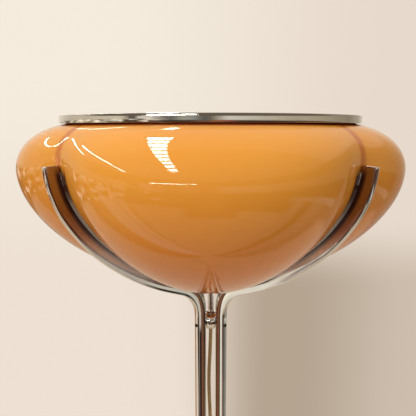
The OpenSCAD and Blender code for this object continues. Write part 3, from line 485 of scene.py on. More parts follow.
# The bowl: a four-lobed shell of caramel acrylic, blown in one piece and polished inside
# and out, with a white layer on its inner face. It sits on a rubber gasket round the pipe
# and hangs between the arms, whose grooves run from the flat seat up to the round mouth.
LOBE_R, GROOVE_R, MOUTH_R = 0.280, 0.244, 0.205
MOUTH_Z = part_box("shade")[1].z
SEAT_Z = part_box("shade")[0].z
LOBE_Z = MOUTH_Z - 0.064
GROOVE_Z = LOBE_Z + 0.024
WALL = 0.004
TIP_R, MID_R, ROOT_R = 0.127, 0.242, 0.382
TIP_A, TIP_END_A, MID_END_A, ROOT_END_A = (math.radians(a) for a in (3.2, 32, 49, 67))
SEAT_R, HOLE_R = 0.018, 0.0051
GROOVE_IN, LOBE_IN, LIP = 0.056, 0.091, 0.25
BELLY, CREASE = 1.8, 0.08


def downward(a):
    return Vector((math.cos(a), -math.sin(a)))


TIP_C = Vector((GROOVE_R - TIP_R, GROOVE_Z))
MID_C = TIP_C + (TIP_R - MID_R) * downward(TIP_END_A)
ROOT_C = MID_C + (MID_R - ROOT_R) * downward(MID_END_A)
ROOT_END = ROOT_C + ROOT_R * downward(ROOT_END_A)
TAIL = ROOT_END.y - SEAT_Z
TAIL_POWER = (ROOT_END.x - SEAT_R) * math.tan(math.radians(21)) / TAIL


def arc_down(c, r, start, end, steps):
    return [c + r * downward(start + (end - start) * k / steps) for k in range(1, steps + 1)]


def full_rise(h, inside, over):
    """The height of a quarter ellipse that has risen by h where it has come in by over."""
    return h / math.sqrt(1 - ((inside - over) / inside) ** 2)


def groove_line(w):
    """The floor of a groove from the flat seat to the mouth, moved in by w."""
    line = []
    for k in range(15):
        t = k / 14
        r = SEAT_R + (ROOT_END.x - SEAT_R) * t
        line.append(Vector((r - w * math.cos(ROOT_END_A) * t,
                            SEAT_Z + TAIL * t ** TAIL_POWER + w * (1 - (1 - math.sin(ROOT_END_A)) * t))))
    line += arc_down(ROOT_C, ROOT_R - w, ROOT_END_A, MID_END_A, 12)
    line += arc_down(MID_C, MID_R - w, MID_END_A, TIP_END_A, 9)
    line += arc_down(TIP_C, TIP_R - w, TIP_END_A, 0, 15)
    rise = full_rise(MOUTH_Z - GROOVE_Z, GROOVE_IN, GROOVE_R - MOUTH_R)
    end = math.acos((MOUTH_R - LIP * w - (GROOVE_R - GROOVE_IN)) / (GROOVE_IN - w))
    for k in range(1, 17):
        a = end * k / 16
        line.append(Vector((GROOVE_R - GROOVE_IN + (GROOVE_IN - w) * math.cos(a),
                            GROOVE_Z + (rise - w) * math.sin(a))))
    return line


def lobe_reach(a, w):
    """How far the middle of a lobe lies from the middle of its widest level, in direction a."""
    if a < 0:
        out, down = math.cos(a) / (LOBE_R - w), -math.sin(a) / (LOBE_Z - SEAT_Z - w)
        return (out ** BELLY + down ** BELLY) ** (-1 / BELLY)
    p = LOBE_IN - w
    q = full_rise(MOUTH_Z - LOBE_Z, LOBE_IN, LOBE_R - MOUTH_R) - w
    o = LOBE_R - LOBE_IN
    ka = (math.cos(a) / p) ** 2 + (math.sin(a) / q) ** 2
    kb = -2 * o * math.cos(a) / (p * p)
    kc = o * o / (p * p) - 1
    return (-kb + math.sqrt(kb * kb - 4 * ka * kc)) / (2 * ka)


def swell(q):
    """How full the bowl is, from 0 in a groove to 1 in the middle of a lobe."""
    s = (math.sqrt(q * q + CREASE * CREASE) - CREASE) / (math.sqrt(1 + CREASE * CREASE) - CREASE)
    return 2 * s - s * s


HALF_LOBE = 30
SHARES = [(k / HALF_LOBE) ** 1.6 for k in range(HALF_LOBE + 1)]
ROUND_THE_BOWL = []
for quarter in range(4):
    ROUND_THE_BOWL += [(math.radians(45 + 90 * quarter + 45 * q), swell(q)) for q in SHARES[:-1]]
    ROUND_THE_BOWL += [(math.radians(135 + 90 * quarter - 45 * q), swell(q)) for q in SHARES[:0:-1]]


def skin_level(g, w):
    """One line of points round the bowl through the point g of the groove's floor."""
    a = math.atan2(g.y - LOBE_Z, g.x)
    near = math.hypot(g.x, g.y - LOBE_Z)
    far = max(near, lobe_reach(a, w))
    level = []
    for turn, share in ROUND_THE_BOWL:
        d = near + (far - near) * share
        level.append((d * math.cos(a) * math.cos(turn), d * math.cos(a) * math.sin(turn),
                      LOBE_Z + d * math.sin(a)))
    return level


def flat_level(r, z):
    return [(r * math.cos(turn), r * math.sin(turn), z) for turn, share in ROUND_THE_BOWL]


SEAT_FLAT_R = 0.011
levels = [flat_level(HOLE_R, SEAT_Z), flat_level(SEAT_FLAT_R, SEAT_Z)]
levels += [skin_level(g, 0) for g in groove_line(0)]
levels += [skin_level(g, WALL) for g in groove_line(WALL)][::-1]
levels += [flat_level(SEAT_FLAT_R, SEAT_Z + WALL), flat_level(HOLE_R, SEAT_Z + WALL)]
bowl = mesh_piece("acrylic_bowl", [p for level in levels for p in level],
                  laid_faces(len(levels), len(ROUND_THE_BOWL), closed=True), 50)

# painted shade: the colour is darkened low on the bowl, in the creases where two lobes meet, in a thin
# painted shadow just under the ring and in painted shade beside the arms
caramel = mottled("caramel_acrylic", ((0.745, 0.300, 0.036), (0.80, 0.340, 0.044), 5.5, 2),
                  (0.012, 0.035, 70, 5), (0.06, 0.0012, 9, 1.5),
                  more={"Subsurface Weight": 0.20, "Subsurface Scale": 0.012,
                        "Subsurface Radius": (1.0, 0.35, 0.08), "IOR": 1.49})


def off_groove_and_height(tree):
    """A distance that is 0 on the middle planes of the four grooves, and the height."""
    place, axes = tree.nodes.new("ShaderNodeTexCoord"), tree.nodes.new("ShaderNodeSeparateXYZ")
    tree.links.new(place.outputs["Object"], axes.inputs[0])
    x, y, z = axes.outputs
    x_or_y_more = reckon(tree, "SUBTRACT", reckon(tree, "ABSOLUTE", x), reckon(tree, "ABSOLUTE", y))
    return reckon(tree, "ABSOLUTE", x_or_y_more), z


tree = caramel.node_tree
skin = tree.nodes["Principled BSDF"].inputs["Base Color"]
off_groove, height = off_groove_and_height(tree)
tone = skin.links[0].from_socket
# painted shade: darker low on the bowl, then darker in the creases over the grooves, then a painted shadow
# line just under the ring
tone = blend(tree, ramp(tree, height, SEAT_Z + 0.02, LOBE_Z + 0.045), (0.72, 0.212, 0.036), tone)
tone = blend(tree, ramp(tree, off_groove, 0.002, 0.015), (0.57, 0.170, 0.018), tone)
tone = blend(tree, ramp(tree, height, MOUTH_Z - 0.0040, MOUTH_Z - 0.0022), tone, (0.30, 0.065, 0.018))
# near-black painted shade close to the grooves, below the level of the arms' tips
painted_shade_beside_arm = reckon(tree, "MULTIPLY", ramp(tree, off_groove, 0.030, 0.016),
                    ramp(tree, height, GROOVE_Z - 0.006, GROOVE_Z - 0.022))
tree.links.new(blend(tree, painted_shade_beside_arm, tone, (0.080, 0.023, 0.009)), skin)
white_layer = mottled("white_acrylic_layer", ((0.84, 0.79, 0.70), (0.89, 0.86, 0.79), 8), (0.09, 0.18, 60),
                      (0.10, 0.001, 11, 1.5), more={"Subsurface Weight": 0.2, "Subsurface Scale": 0.006})
fit(bowl, caramel, "shade_acrylic", "shade")
bowl.data.materials.append(white_layer)
for face in bowl.data.polygons:
    from_middle = face.center - Vector((0, 0, LOBE_Z))
    if face.normal.dot(from_middle) < 0 and face.center.z < MOUTH_Z - 0.0008:
        face.material_index = 1

# The ring round the mouth: a band of polished chrome, turned with a flat web that rests
# on the bowl's edge and a skirt that drops inside it. The lathe has left fine lines on it.
BAND_R, BAND_T = 0.215, 0.0018
SKIRT_R = MOUTH_R - LIP * WALL - 0.0015
SKIRT_H = 0.012


def softened(corners, r, steps=3):
    """A closed outline with each corner rounded by r, or by less where its sides are short."""
    points = []
    n = len(corners)
    for i in range(n):
        a, b, c = (Vector(corners[(i + k) % n][:2]) for k in (-1, 0, 1))
        into, out = (b - a), (c - b)
        cut = min(r, 0.45 * into.length, 0.45 * out.length)
        if cut < 1e-6 or into.normalized().dot(out.normalized()) > 0.985:
            points.append(b)
            continue
        start, end = b - into.normalized() * cut, b + out.normalized() * cut
        for k in range(steps + 1):
            t = k / steps
            points.append(start * (1 - t) ** 2 + b * 2 * t * (1 - t) + end * t * t)
    return points


def turned_piece(name, outline, steps=96, place=None, smooth_to=35, shape=None):
    """A closed outline of (radius, height) turned round its axis and put in its place."""
    vertices = []
    for r, z in outline:
        for j in range(steps):
            turn = 2 * math.pi * j / steps
            reach = shape(r, z, turn) if shape else r
            vertices.append(Vector((reach * math.cos(turn), reach * math.sin(turn), z)))
    if place:
        vertices = [place @ v for v in vertices]
    return mesh_piece(name, vertices, laid_faces(len(outline), steps, closed=True), smooth_to)


def polished_chrome(name, tint, shine, scratch, streak=(1, 1, 1)):
    """Chrome plate: nearly a mirror, with faint smears and hairline scratches."""
    darker = tuple(0.90 * c for c in tint)
    return mottled(name, (darker, tint, 45, 4), (*shine, 160, 6, streak), (scratch, 0.0002, 700, 2, streak),
                   metal=1.0)


top = MOUTH_Z + 0.010
# the band bellies a little between its edges, so that it carries a long bright line
ring_outline = softened([(BAND_R - 0.0002, MOUTH_Z), (BAND_R, MOUTH_Z + 0.005), (BAND_R - 0.0002, top),
                         (BAND_R - BAND_T, top), (BAND_R - BAND_T, MOUTH_Z + BAND_T),
                         (SKIRT_R - BAND_T, MOUTH_Z + BAND_T), (SKIRT_R - BAND_T, MOUTH_Z - SKIRT_H),
                         (SKIRT_R, MOUTH_Z - SKIRT_H), (SKIRT_R, MOUTH_Z)], 0.0006)
ring = turned_piece("mouth_ring", ring_outline, 360)
ring_chrome = polished_chrome("turned_chrome", (0.82, 0.81, 0.77), (0.025, 0.08), 0.10, (1, 1, 0.15))
fit(ring, ring_chrome, "ring_chrome", "top_ring")

# The four bars: each is one length of chromed steel flat bar on edge, bent from a foot
# up the stem and out along a groove of the bowl. Polishing has rounded its edges and
# crowned its faces a little, so that its reflections run in long streaks.
BAR_DEEP, BAR_WIDE = 0.018, 0.010
STEM_R, BEND_R = 0.014, 0.050
PAD_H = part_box("foot_pads")[1].z
BUMPER_T = 0.0012
FOOT_R, TOE_R, FOOT_RUN = 0.380, 0.240, 0.024
FOOT_A, TOE_A = math.radians(49), math.radians(32)
BALL_DROP = 0.012
BEND_AXIS = STEM_R + BAR_DEEP + BEND_R
ARM_BEND_Z = TOP_BALL_Z + BALL_DROP
FOOT_BEND_Z = LOWER_BALL_Z - BALL_DROP
OUTER_BEND_R = BEND_R + BAR_DEEP
foot_start = Vector((BEND_AXIS - OUTER_BEND_R * math.cos(ROOT_END_A), OUTER_BEND_R * math.sin(ROOT_END_A)))
foot_long = foot_start + FOOT_RUN * Vector((math.sin(ROOT_END_A), math.cos(ROOT_END_A)))
FOOT_C = foot_long - FOOT_R * downward(ROOT_END_A)
TOE_C = FOOT_C + (FOOT_R - TOE_R) * downward(FOOT_A)


def bend_line(r, steps):
    return [Vector((BEND_AXIS + r * math.cos(a), r * math.sin(a)))
            for a in (math.pi - ROOT_END_A * k / steps for k in range(steps + 1))]


def straight(a, b, steps):
    return [a + (b - a) * k / steps for k in range(1, steps)]


def arm_side(d):
    """The side view of an arm, at the depth d into the bar from the edge that meets the bowl."""
    bend = [p + Vector((0, ARM_BEND_Z)) for p in bend_line(OUTER_BEND_R - d, 28)]
    root = ROOT_C + (ROOT_R + BUMPER_T + d) * downward(ROOT_END_A)
    return (bend + straight(bend[-1], root, 3) + [root]
            + arc_down(ROOT_C, ROOT_R + BUMPER_T + d, ROOT_END_A, MID_END_A, 22)
            + arc_down(MID_C, MID_R + BUMPER_T + d, MID_END_A, TIP_END_A, 18)
            + arc_down(TIP_C, TIP_R + BUMPER_T + d, TIP_END_A, TIP_A, 26))


def foot_side(d):
    """The side view of a foot, from the stem to the floor, at the depth d into the bar."""
    bend = bend_line(OUTER_BEND_R - d, 28)
    root = FOOT_C + (FOOT_R + d) * downward(ROOT_END_A)
    floor_a = math.asin((PAD_H - FOOT_BEND_Z + TOE_C.y) / (TOE_R + d))
    side = (bend + straight(bend[-1], root, 3) + [root]
            + arc_down(FOOT_C, FOOT_R + d, ROOT_END_A, FOOT_A, 22)
            + arc_down(TOE_C, TOE_R + d, FOOT_A, floor_a, 20))
    return [Vector((p.x, FOOT_BEND_Z - p.y)) for p in side]


def bar_section():
    """Points round the bar: share of its depth from the inner edge, and place across it."""
    crown_side, crown_edge, r = 0.00028, 0.00022, 0.0022
    points = []
    half_deep, half_wide = BAR_DEEP / 2, BAR_WIDE / 2
    long_flat, flat = half_deep - r, half_wide - crown_side - r
    for sign in (1, -1):
        for k in range(13):
            u = long_flat * (-1 + 2 * k / 12) * sign
            points.append((u, sign * (half_wide - crown_side * (u / long_flat) ** 2)))
        for k in range(1, 6):
            a = math.radians(90 - 90 * k / 6)
            u = long_flat + (r - crown_edge) * math.cos(a)
            points.append((sign * u, sign * (flat + r * math.sin(a))))
        for k in range(7):
            v = flat * (1 - 2 * k / 6)
            points.append((sign * (half_deep - crown_edge * (v / (half_wide - r)) ** 2), sign * v))
        for k in range(1, 6):
            a = math.radians(-90 * k / 6)
            u = long_flat + (r - crown_edge) * math.cos(a)
            points.append((sign * u, sign * (-flat + r * math.sin(a))))
    return [(0.5 + u / BAR_DEEP, v) for u, v in points]


def shrunk(section, cut):
    """The bar's section, smaller by cut all round."""
    return [(0.5 + (u - 0.5) * (1 - 2 * cut / BAR_DEEP), v * (1 - 2 * cut / BAR_WIDE)) for u, v in section]


bar_chrome = polished_chrome("bar_chrome", (0.85, 0.84, 0.80), (0.015, 0.05), 0.006)
# painted reflections on the arms' sides, which face the lobes next to them, with the edges left plain: high
# up a dark brownish tint stands in for the dark groove they reflect, and lower down less metal lets lamp
# light show a pale band in place of a reflection
tree = bar_chrome.node_tree
shader = tree.nodes["Principled BSDF"]
off_groove, height = off_groove_and_height(tree)
side = ramp(tree, off_groove, 0.0060, 0.0066)
painted_dark_reflection = reckon(tree, "MULTIPLY", side, ramp(tree, height, SEAT_Z + 0.080, SEAT_Z + 0.125))
painted_pale_reflection = reckon(tree, "MULTIPLY", side, ramp(tree, height, SEAT_Z + 0.018, SEAT_Z + 0.040))
painted_pale_reflection = reckon(tree, "MULTIPLY", painted_pale_reflection, ramp(tree, height, SEAT_Z + 0.125, SEAT_Z + 0.060))
plated = shader.inputs["Base Color"].links[0].from_socket
# the painted dark reflection on the sides high up, and less metal for the pale painted band lower down
tree.links.new(blend(tree, painted_dark_reflection, plated, (0.34, 0.27, 0.30)), shader.inputs["Base Color"])
tree.links.new(reckon(tree, "MULTIPLY_ADD", painted_pale_reflection, -0.55, 1.0), shader.inputs["Metallic"])
SECTION = bar_section()
STEM_STEPS = 12


def whole_side(d):
    """The side view of a bar from its toe up the stem to its tip, at the depth d."""
    foot, arm = foot_side(d)[::-1], arm_side(d)
    return foot + straight(foot[-1], arm[0], STEM_STEPS) + arm


inner_side, outer_side = whole_side(0), whole_side(BAR_DEEP)
QUARTERS = {"front_left": -135, "front_right": -45, "rear_right": 45, "rear_left": 135}


def about_z(az):
    """The turn about the lamp's axis that takes +X to that azimuth."""
    return Matrix.Rotation(math.radians(az), 4, "Z")


for corner, az in QUARTERS.items():
    turn = about_z(az)
    vertices = []
    last = len(inner_side) - 1
    for i, (a, b) in enumerate(zip(inner_side, outer_side)):
        along = (inner_side[min(i + 1, last)] - inner_side[max(i - 1, 0)]).normalized()
        rings = [(0.0, 0.0)]
        if i == last:
            rings = [(-0.0007, 0.0), (-0.00025, 0.00008), (-0.00005, 0.0003), (0.0, 0.0007), (0.0, 0.003)]
        if i == 0:
            rings = [(0.0, 0.0003), (0.0, 0.0)]
        for step, cut in rings:
            for u, v in (shrunk(SECTION, cut) if cut else SECTION):
                p = a + (b - a) * u + along * step
                vertices.append(turn @ Vector((p.x, v, p.y)))
    bar = mesh_piece("bar_" + corner + "_polished", vertices,
                     laid_faces(len(vertices) // len(SECTION), len(SECTION)), 50)
    fit(bar, bar_chrome, "bar_chrome", "bar_" + corner)

# The joining balls: solid chromed steel, drilled through for the cord, with a flat milled
# on for each bar. One sits at the top of the stem, one in its middle and one at its foot.
BALL_R, BORE_R = 0.015, 0.0035
PIPE_R = 0.0045
ball_chrome = polished_chrome("ball_chrome", (0.85, 0.84, 0.82), (0.02, 0.06), 0.015)
for ball, z in (("top_ball", TOP_BALL_Z), ("middle_ball", MIDDLE_BALL_Z), ("lower_ball", LOWER_BALL_Z)):
    mouth_r = PIPE_R + 0.0001 if ball == "top_ball" else BORE_R
    start, end = math.acos(mouth_r / BALL_R), -math.acos(BORE_R / BALL_R)
    outline = [(BALL_R * math.cos(a), z + BALL_R * math.sin(a))
               for a in (start + (end - start) * k / 40 for k in range(41))]
    outline += [(BORE_R, z - 0.010), (BORE_R, z + 0.005), (mouth_r, z + 0.005)]
    sphere = turned_piece(ball + "_turned", outline, 96, smooth_to=60)
    for v in sphere.data.vertices:
        for az in QUARTERS.values():
            u = Vector((math.cos(math.radians(az)), math.sin(math.radians(az)), 0))
            over = v.co.dot(u) - STEM_R
            if over > 0:
                v.co -= u * over
    fit(sphere, ball_chrome, "ball_chrome", ball)

# The screws that draw the bars against the balls: blackened steel with domed heads and a
# hexagon recess, one through each bar at each ball.
burnished = mottled("burnished_steel", ((0.020, 0.014, 0.011), (0.075, 0.048, 0.034), 900), (0.25, 0.5, 1500),
                    (0.2, 0.0001, 2500), metal=0.6)
SHANK_R, HEAD_R, HEAD_H, BITE = 0.002, 0.0028, 0.0014, 0.0059
RECESS = 0.00105


def hexagon(turn, flat):
    """Distance from a hexagon's middle to its edge at that turn, for half its width across flats."""
    return flat / math.cos((turn + math.pi / 6) % (math.pi / 3) - math.pi / 6)


def recess_or_round(r, z, turn):
    """Points that are given the radius RECESS lie on a hexagon, and all others on a round."""
    return hexagon(turn, RECESS) if r == RECESS else r


def joined(name, pieces):
    """Several meshes made one piece, in their own places."""
    mesh = bpy.data.meshes.new(name)
    bm = bmesh.new()
    for piece in pieces:
        bm.from_mesh(piece.data)
        bpy.data.objects.remove(piece)
    bm.to_mesh(mesh)
    bm.free()
    for face in mesh.polygons:
        face.use_smooth = True
    mesh.set_sharp_from_angle(angle=math.radians(35))
    whole = bpy.data.objects.new(name, mesh)
    bpy.context.scene.collection.objects.link(whole)
    return whole


head_z = BITE + BAR_DEEP
screw_outline = [(0.0, 0.0), (SHANK_R - 0.0004, 0.0), (SHANK_R, 0.0004), (SHANK_R, head_z), (HEAD_R, head_z)]
screw_outline += [(HEAD_R * math.cos(a), head_z + 0.0003 + (HEAD_H - 0.0003) * math.sin(a))
                  for a in (math.radians(68 * k / 8) for k in range(9))]
screw_outline += [(RECESS, head_z + HEAD_H - 0.00002), (RECESS, head_z + 0.0003), (0.0, head_z + 0.0002)]
for screws, z in (("top_screws", TOP_BALL_Z), ("middle_screws", MIDDLE_BALL_Z),
                  ("lower_screws", LOWER_BALL_Z)):
    made = []
    for az in QUARTERS.values():
        place = (about_z(az) @ Matrix.Translation((STEM_R - BITE, 0, z))
                 @ Matrix.Rotation(math.pi / 2, 4, "Y"))
        made.append(turned_piece("screw", screw_outline, 36, place, shape=recess_or_round))
    screw_set = joined(screws + "_domed", made)
    fit(screw_set, burnished, "dark_screw", screws)

# What holds the bowl: a chromed pipe screwed into the top ball, with a nut, a washer and a
# gasket below the bowl's seat and a gasket, a washer and a nut above it. The pipe runs on
# up to the lamp hub and carries the cord.
PIPE_BORE = 0.0034
PIPE_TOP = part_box("lamp_pipe")[1].z
PIPE_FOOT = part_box("lamp_pipe")[0].z
pipe_chrome = polished_chrome("pipe_chrome", (0.82, 0.81, 0.78), (0.04, 0.12), 0.04)
pipe = turned_piece("chromed_pipe", softened([(PIPE_R, PIPE_FOOT), (PIPE_R, PIPE_TOP), (PIPE_BORE, PIPE_TOP),
                                              (PIPE_BORE, PIPE_FOOT)], 0.0004), 64)
fit(pipe, pipe_chrome, "pipe_chrome", "lamp_pipe")


def zinc_plate(name, tint, rough):
    """Plated steel as it comes from the barrel: a soft shine with a grain and dull patches."""
    return mottled(name, (tuple(0.8 * c for c in tint), tint, 350, 5), (rough - 0.10, rough + 0.14, 500, 5),
                   (0.12, 0.0001, 1800, 3), metal=0.95)


zinc = zinc_plate("zinc_plate", (0.62, 0.60, 0.55), 0.30)
NUT_FLAT = 0.007
NUT_BORE = PIPE_R + 0.0001


def nut_piece(name, z, h):
    """A hexagon nut with its corners turned off at both ends and its bore chamfered."""
    corner = NUT_FLAT / math.cos(math.pi / 6)

    def hexagon_nut(r, level, turn):
        if r < NUT_FLAT - 0.001:
            return r
        end = min(level - z, z + h - level)
        return min(hexagon(turn, NUT_FLAT), NUT_FLAT * 0.97 + 1.8 * max(end, 0))

    rows = [0, 0.0002, 0.0004, 0.0006, 0.0008, 0.0011]
    outline = [(corner, z + d) for d in rows] + [(corner, z + h - d) for d in rows[::-1]]
    outline += [(NUT_BORE + 0.0006, z + h), (NUT_BORE, z + h - 0.0006)]
    outline += [(NUT_BORE, z + 0.0006), (NUT_BORE + 0.0006, z)]
    return turned_piece(name, outline, 120, shape=hexagon_nut, smooth_to=28)


for name, node in (("nut_under_bowl", "support_nut"), ("nut_in_bowl", "shade_nut")):
    low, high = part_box(node)
    nut = nut_piece(name, low.z, high.z - low.z)
    fit(nut, zinc, "zinc_steel", node)
hub_low, hub_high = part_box("hub_nuts")
nut_h = 0.005
hub_nuts = joined("nuts_on_hub", [nut_piece("low_nut", hub_low.z, nut_h),
                                  nut_piece("high_nut", hub_high.z - nut_h, nut_h)])
fit(hub_nuts, zinc, "zinc_steel", "hub_nuts")


def flat_ring(name, r, low, high):
    """A flat ring round the pipe, with softened edges."""
    outline = softened([(r, low), (r, high), (NUT_BORE, high), (NUT_BORE, low)], 0.0005)
    return turned_piece(name, outline, 96)


for name, node in (("washer_under_bowl", "lower_washer"), ("washer_in_bowl", "upper_washer")):
    low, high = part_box(node)
    fit(flat_ring(name, high.x, low.z, high.z), zinc, "zinc_steel", node)


def rubber_finish(name, tone, rough=0.7):
    """Moulded rubber: matt, with a fine dusty bloom and a pebbled skin."""
    bloom = tuple(1.9 * c + 0.012 for c in tone)
    return mottled(name, (tone, bloom, 220, 5), (rough - 0.12, rough + 0.12, 420), (0.25, 0.00012, 2600, 2))


gasket_rubber = rubber_finish("gasket_rubber", (0.055, 0.045, 0.038), 0.62)
low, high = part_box("shade_gaskets")
GASKET_T = 0.0015
gaskets = joined("bowl_gaskets", [flat_ring("gasket", high.x, z, z + GASKET_T)
                                  for z in (low.z, high.z - GASKET_T)])
fit(gaskets, gasket_rubber, "gasket_rubber", "shade_gaskets")

# Small cushions of clear soft vinyl, one stuck on each arm near its tip, that keep the bowl
# off the metal.
BUMPER_WIDE, BUMPER_GAP = 0.006, 0.0003
clear_vinyl = mottled("clear_vinyl", ((0.78, 0.73, 0.64), (0.85, 0.83, 0.78), 500), (0.18, 0.4, 900),
                      more={"Subsurface Weight": 0.4, "Subsurface Scale": 0.001})
cushions = []
bumper_from, bumper_to = TIP_END_A + (TIP_A - TIP_END_A) * 5 / 8, TIP_END_A + (TIP_A - TIP_END_A) * 7 / 8
for az in QUARTERS.values():
    turn = about_z(az)
    rows = []
    for k in range(13):
        a = bumper_from + (bumper_to - bumper_from) * k / 12
        edge = min(1.0, math.sqrt(max(0.0, 1 - abs(k / 6 - 1) ** 8)) + 0.02)
        low_r, high_r = TIP_R + BUMPER_T - (BUMPER_T - BUMPER_GAP) * edge, TIP_R + BUMPER_T + 0.00015
        half = BUMPER_WIDE / 2
        outline = softened([(low_r, -half), (high_r, -half), (high_r, half), (low_r, half)], 0.0005)
        for r, v in outline:
            p = TIP_C + r * downward(a)
            rows.append(turn @ Vector((p.x, v, p.y)))
    cushions.append(mesh_piece("cushion", rows, laid_faces(13, len(rows) // 13)))
bumpers = joined("arm_cushions", cushions)
fit(bumpers, clear_vinyl, "clear_bumper", "arm_bumpers")

# The pads under the feet: black rubber, one glued to the toe of each bar, each with a groove
# round its side.
pad_rubber = rubber_finish("pad_rubber", (0.022, 0.020, 0.018))
toe_from = TOE_C.x + TOE_R * math.cos(TOE_A)
toe_long = BAR_DEEP / math.cos(TOE_A)
pads = []
for az in QUARTERS.values():
    turn = about_z(az)
    sole = []
    outline = softened([(toe_from, -BAR_WIDE / 2), (toe_from + toe_long, -BAR_WIDE / 2),
                        (toe_from + toe_long, BAR_WIDE / 2), (toe_from, BAR_WIDE / 2)], 0.0015, 5)
    middle = Vector((toe_from + toe_long / 2, 0))
    for z, pull in ((0.0, 0.0006), (0.0003, 0.0002), (0.0008, 0.0), (0.0016, 0.0), (0.0018, 0.0003),
                    (0.0022, 0.0003), (0.0024, 0.0), (PAD_H - 0.0004, 0.0), (PAD_H, 0.0003)):
        for p in outline:
            q = p + (middle - p).normalized() * pull
            sole.append(turn @ Vector((q.x, q.y, z)))
    pads.append(mesh_piece("sole", sole, laid_faces(9, len(outline)), 50))
soles = joined("rubber_soles", pads)
fit(soles, pad_rubber, "pad_rubber", "foot_pads")

# The hub in the bowl: a white enamelled can clamped on the pipe, closed by a lid with one
# screw. Four chromed tubes leave it, tilted up, one towards the middle of each lobe.
HUB_LOW, HUB_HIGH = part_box("hub_body")
HUB_R = HUB_HIGH.x
HUB_WALL = 0.002
HUB_MID = (HUB_LOW.z + HUB_HIGH.z) / 2
TILT = math.radians(15)
LOBES = {"front": -90, "right": 0, "rear": 90, "left": 180}
enamel = mottled("white_enamel", ((0.76, 0.74, 0.67), (0.84, 0.82, 0.77), 120), (0.20, 0.38, 300),
                 (0.2, 0.0002, 650, 1), more={"Coat Weight": 0.3})
hub_floor, inner_r = HUB_LOW.z + HUB_WALL, HUB_R - HUB_WALL
hub = turned_piece("hub_can", softened([
    (HUB_R, HUB_LOW.z), (HUB_R, HUB_HIGH.z), (inner_r, HUB_HIGH.z), (inner_r, hub_floor),
    (NUT_BORE, hub_floor), (NUT_BORE, HUB_LOW.z)], 0.0015, 4), 128)
lid_low, lid_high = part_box("hub_lid")
lip_r = inner_r - 0.0001
lid = turned_piece("hub_lid_pressed", softened([
    (HUB_R, HUB_HIGH.z), (HUB_R - 0.0004, lid_high.z), (0.010, lid_high.z), (0.009, lid_high.z - 0.0006),
    (0.0021, lid_high.z - 0.0006), (0.0021, lid_low.z), (lip_r, lid_low.z), (lip_r, HUB_HIGH.z)],
    0.0008, 4), 128)
fit(hub, enamel, "white_enamel", "hub_body")
fit(lid, enamel, "white_enamel", "hub_lid")

low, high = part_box("lid_screw")
lid_head_r, dome = 0.004, 0.0016
lid_screw_outline = [(0.0, low.z), (0.0016, low.z), (0.002, low.z + 0.0004), (0.002, high.z - 0.0024),
                     (lid_head_r, high.z - 0.0024), (lid_head_r, high.z - dome)]
lid_screw_outline += [(lid_head_r * math.cos(a), high.z - dome + dome * math.sin(a))
                      for a in (math.radians(10 * k) for k in range(1, 7))]
lid_screw_outline += [(RECESS, high.z - 0.0001), (RECESS, high.z - 0.0011), (0.0, high.z - 0.0011)]
lid_screw = turned_piece("lid_screw_domed", lid_screw_outline, 48, shape=recess_or_round)
fit(lid_screw, zinc, "zinc_steel", "lid_screw")


def along_lobe(az):
    """From the holder's own height to its place: up its axis is out towards the lobe."""
    return (about_z(az) @ Matrix.Translation((0, 0, HUB_MID))
            @ Matrix.Rotation(math.pi / 2 - TILT, 4, "Y"))


BRANCH_R, BRANCH_BORE, BRANCH_FROM, BRANCH_TO = 0.005, 0.004, 0.018, 0.046
branch_chrome = polished_chrome("branch_chrome", (0.81, 0.80, 0.78), (0.05, 0.13), 0.03)
branch_outline = softened([(BRANCH_R, BRANCH_FROM), (BRANCH_R, BRANCH_TO), (BRANCH_BORE, BRANCH_TO),
                           (BRANCH_BORE, BRANCH_FROM)], 0.0003)
branches = joined("chromed_tubes", [turned_piece("tube", branch_outline, 48, along_lobe(az))
                                    for az in LOBES.values()])
fit(branches, branch_chrome, "branch_chrome", "holder_branches")

# The lamp holders: glazed white, with a collar on the tube, a ribbed skirt and a deep
# socket whose threaded shell takes the bulb's cap.
HOLDER_FROM, COLLAR_L, HOLDER_L, COLLAR_R, HOLDER_R = 0.040, 0.012, 0.046, 0.012, 0.019
CAP_R, CAP_L = 0.0132, 0.027
MOUTH = HOLDER_FROM + COLLAR_L + HOLDER_L
glaze = mottled("white_glaze", ((0.79, 0.77, 0.71), (0.87, 0.85, 0.81), 90), (0.06, 0.18, 260),
                (0.15, 0.0005, 140, 1),
                more={"Coat Weight": 0.5, "Subsurface Weight": 0.1, "Subsurface Scale": 0.002})
body_from = HOLDER_FROM + COLLAR_L
tube_r, socket_r = BRANCH_R + 0.0001, CAP_R + 0.0004
holder_corners = [(tube_r, HOLDER_FROM), (COLLAR_R, HOLDER_FROM), (COLLAR_R, body_from - 0.0005),
                  (0.0165, body_from), (HOLDER_R - 0.0005, body_from + 0.004),
                  (HOLDER_R - 0.0005, body_from + 0.018), (HOLDER_R - 0.0015, body_from + 0.0186),
                  (HOLDER_R - 0.0015, body_from + 0.0200)]
for rib in range(6):
    z = body_from + 0.0206 + rib * 0.0034
    holder_corners += [(HOLDER_R, z), (HOLDER_R, z + 0.0020)]
    holder_corners += [(HOLDER_R - 0.0008, z + 0.0025), (HOLDER_R - 0.0008, z + 0.0031)]
holder_corners += [(HOLDER_R, MOUTH - 0.0042), (HOLDER_R, MOUTH), (socket_r, MOUTH),
                   (socket_r, MOUTH - CAP_L), (0.0, MOUTH - CAP_L),
                   (0.0, HOLDER_FROM + 0.006), (tube_r, HOLDER_FROM + 0.006)]
holder_outline = softened(holder_corners, 0.0007, 3)
for lobe, az in LOBES.items():
    holder = turned_piece("glazed_holder_" + lobe, holder_outline, 96, along_lobe(az))
    fit(holder, glaze, "holder_white", "holder_" + lobe)

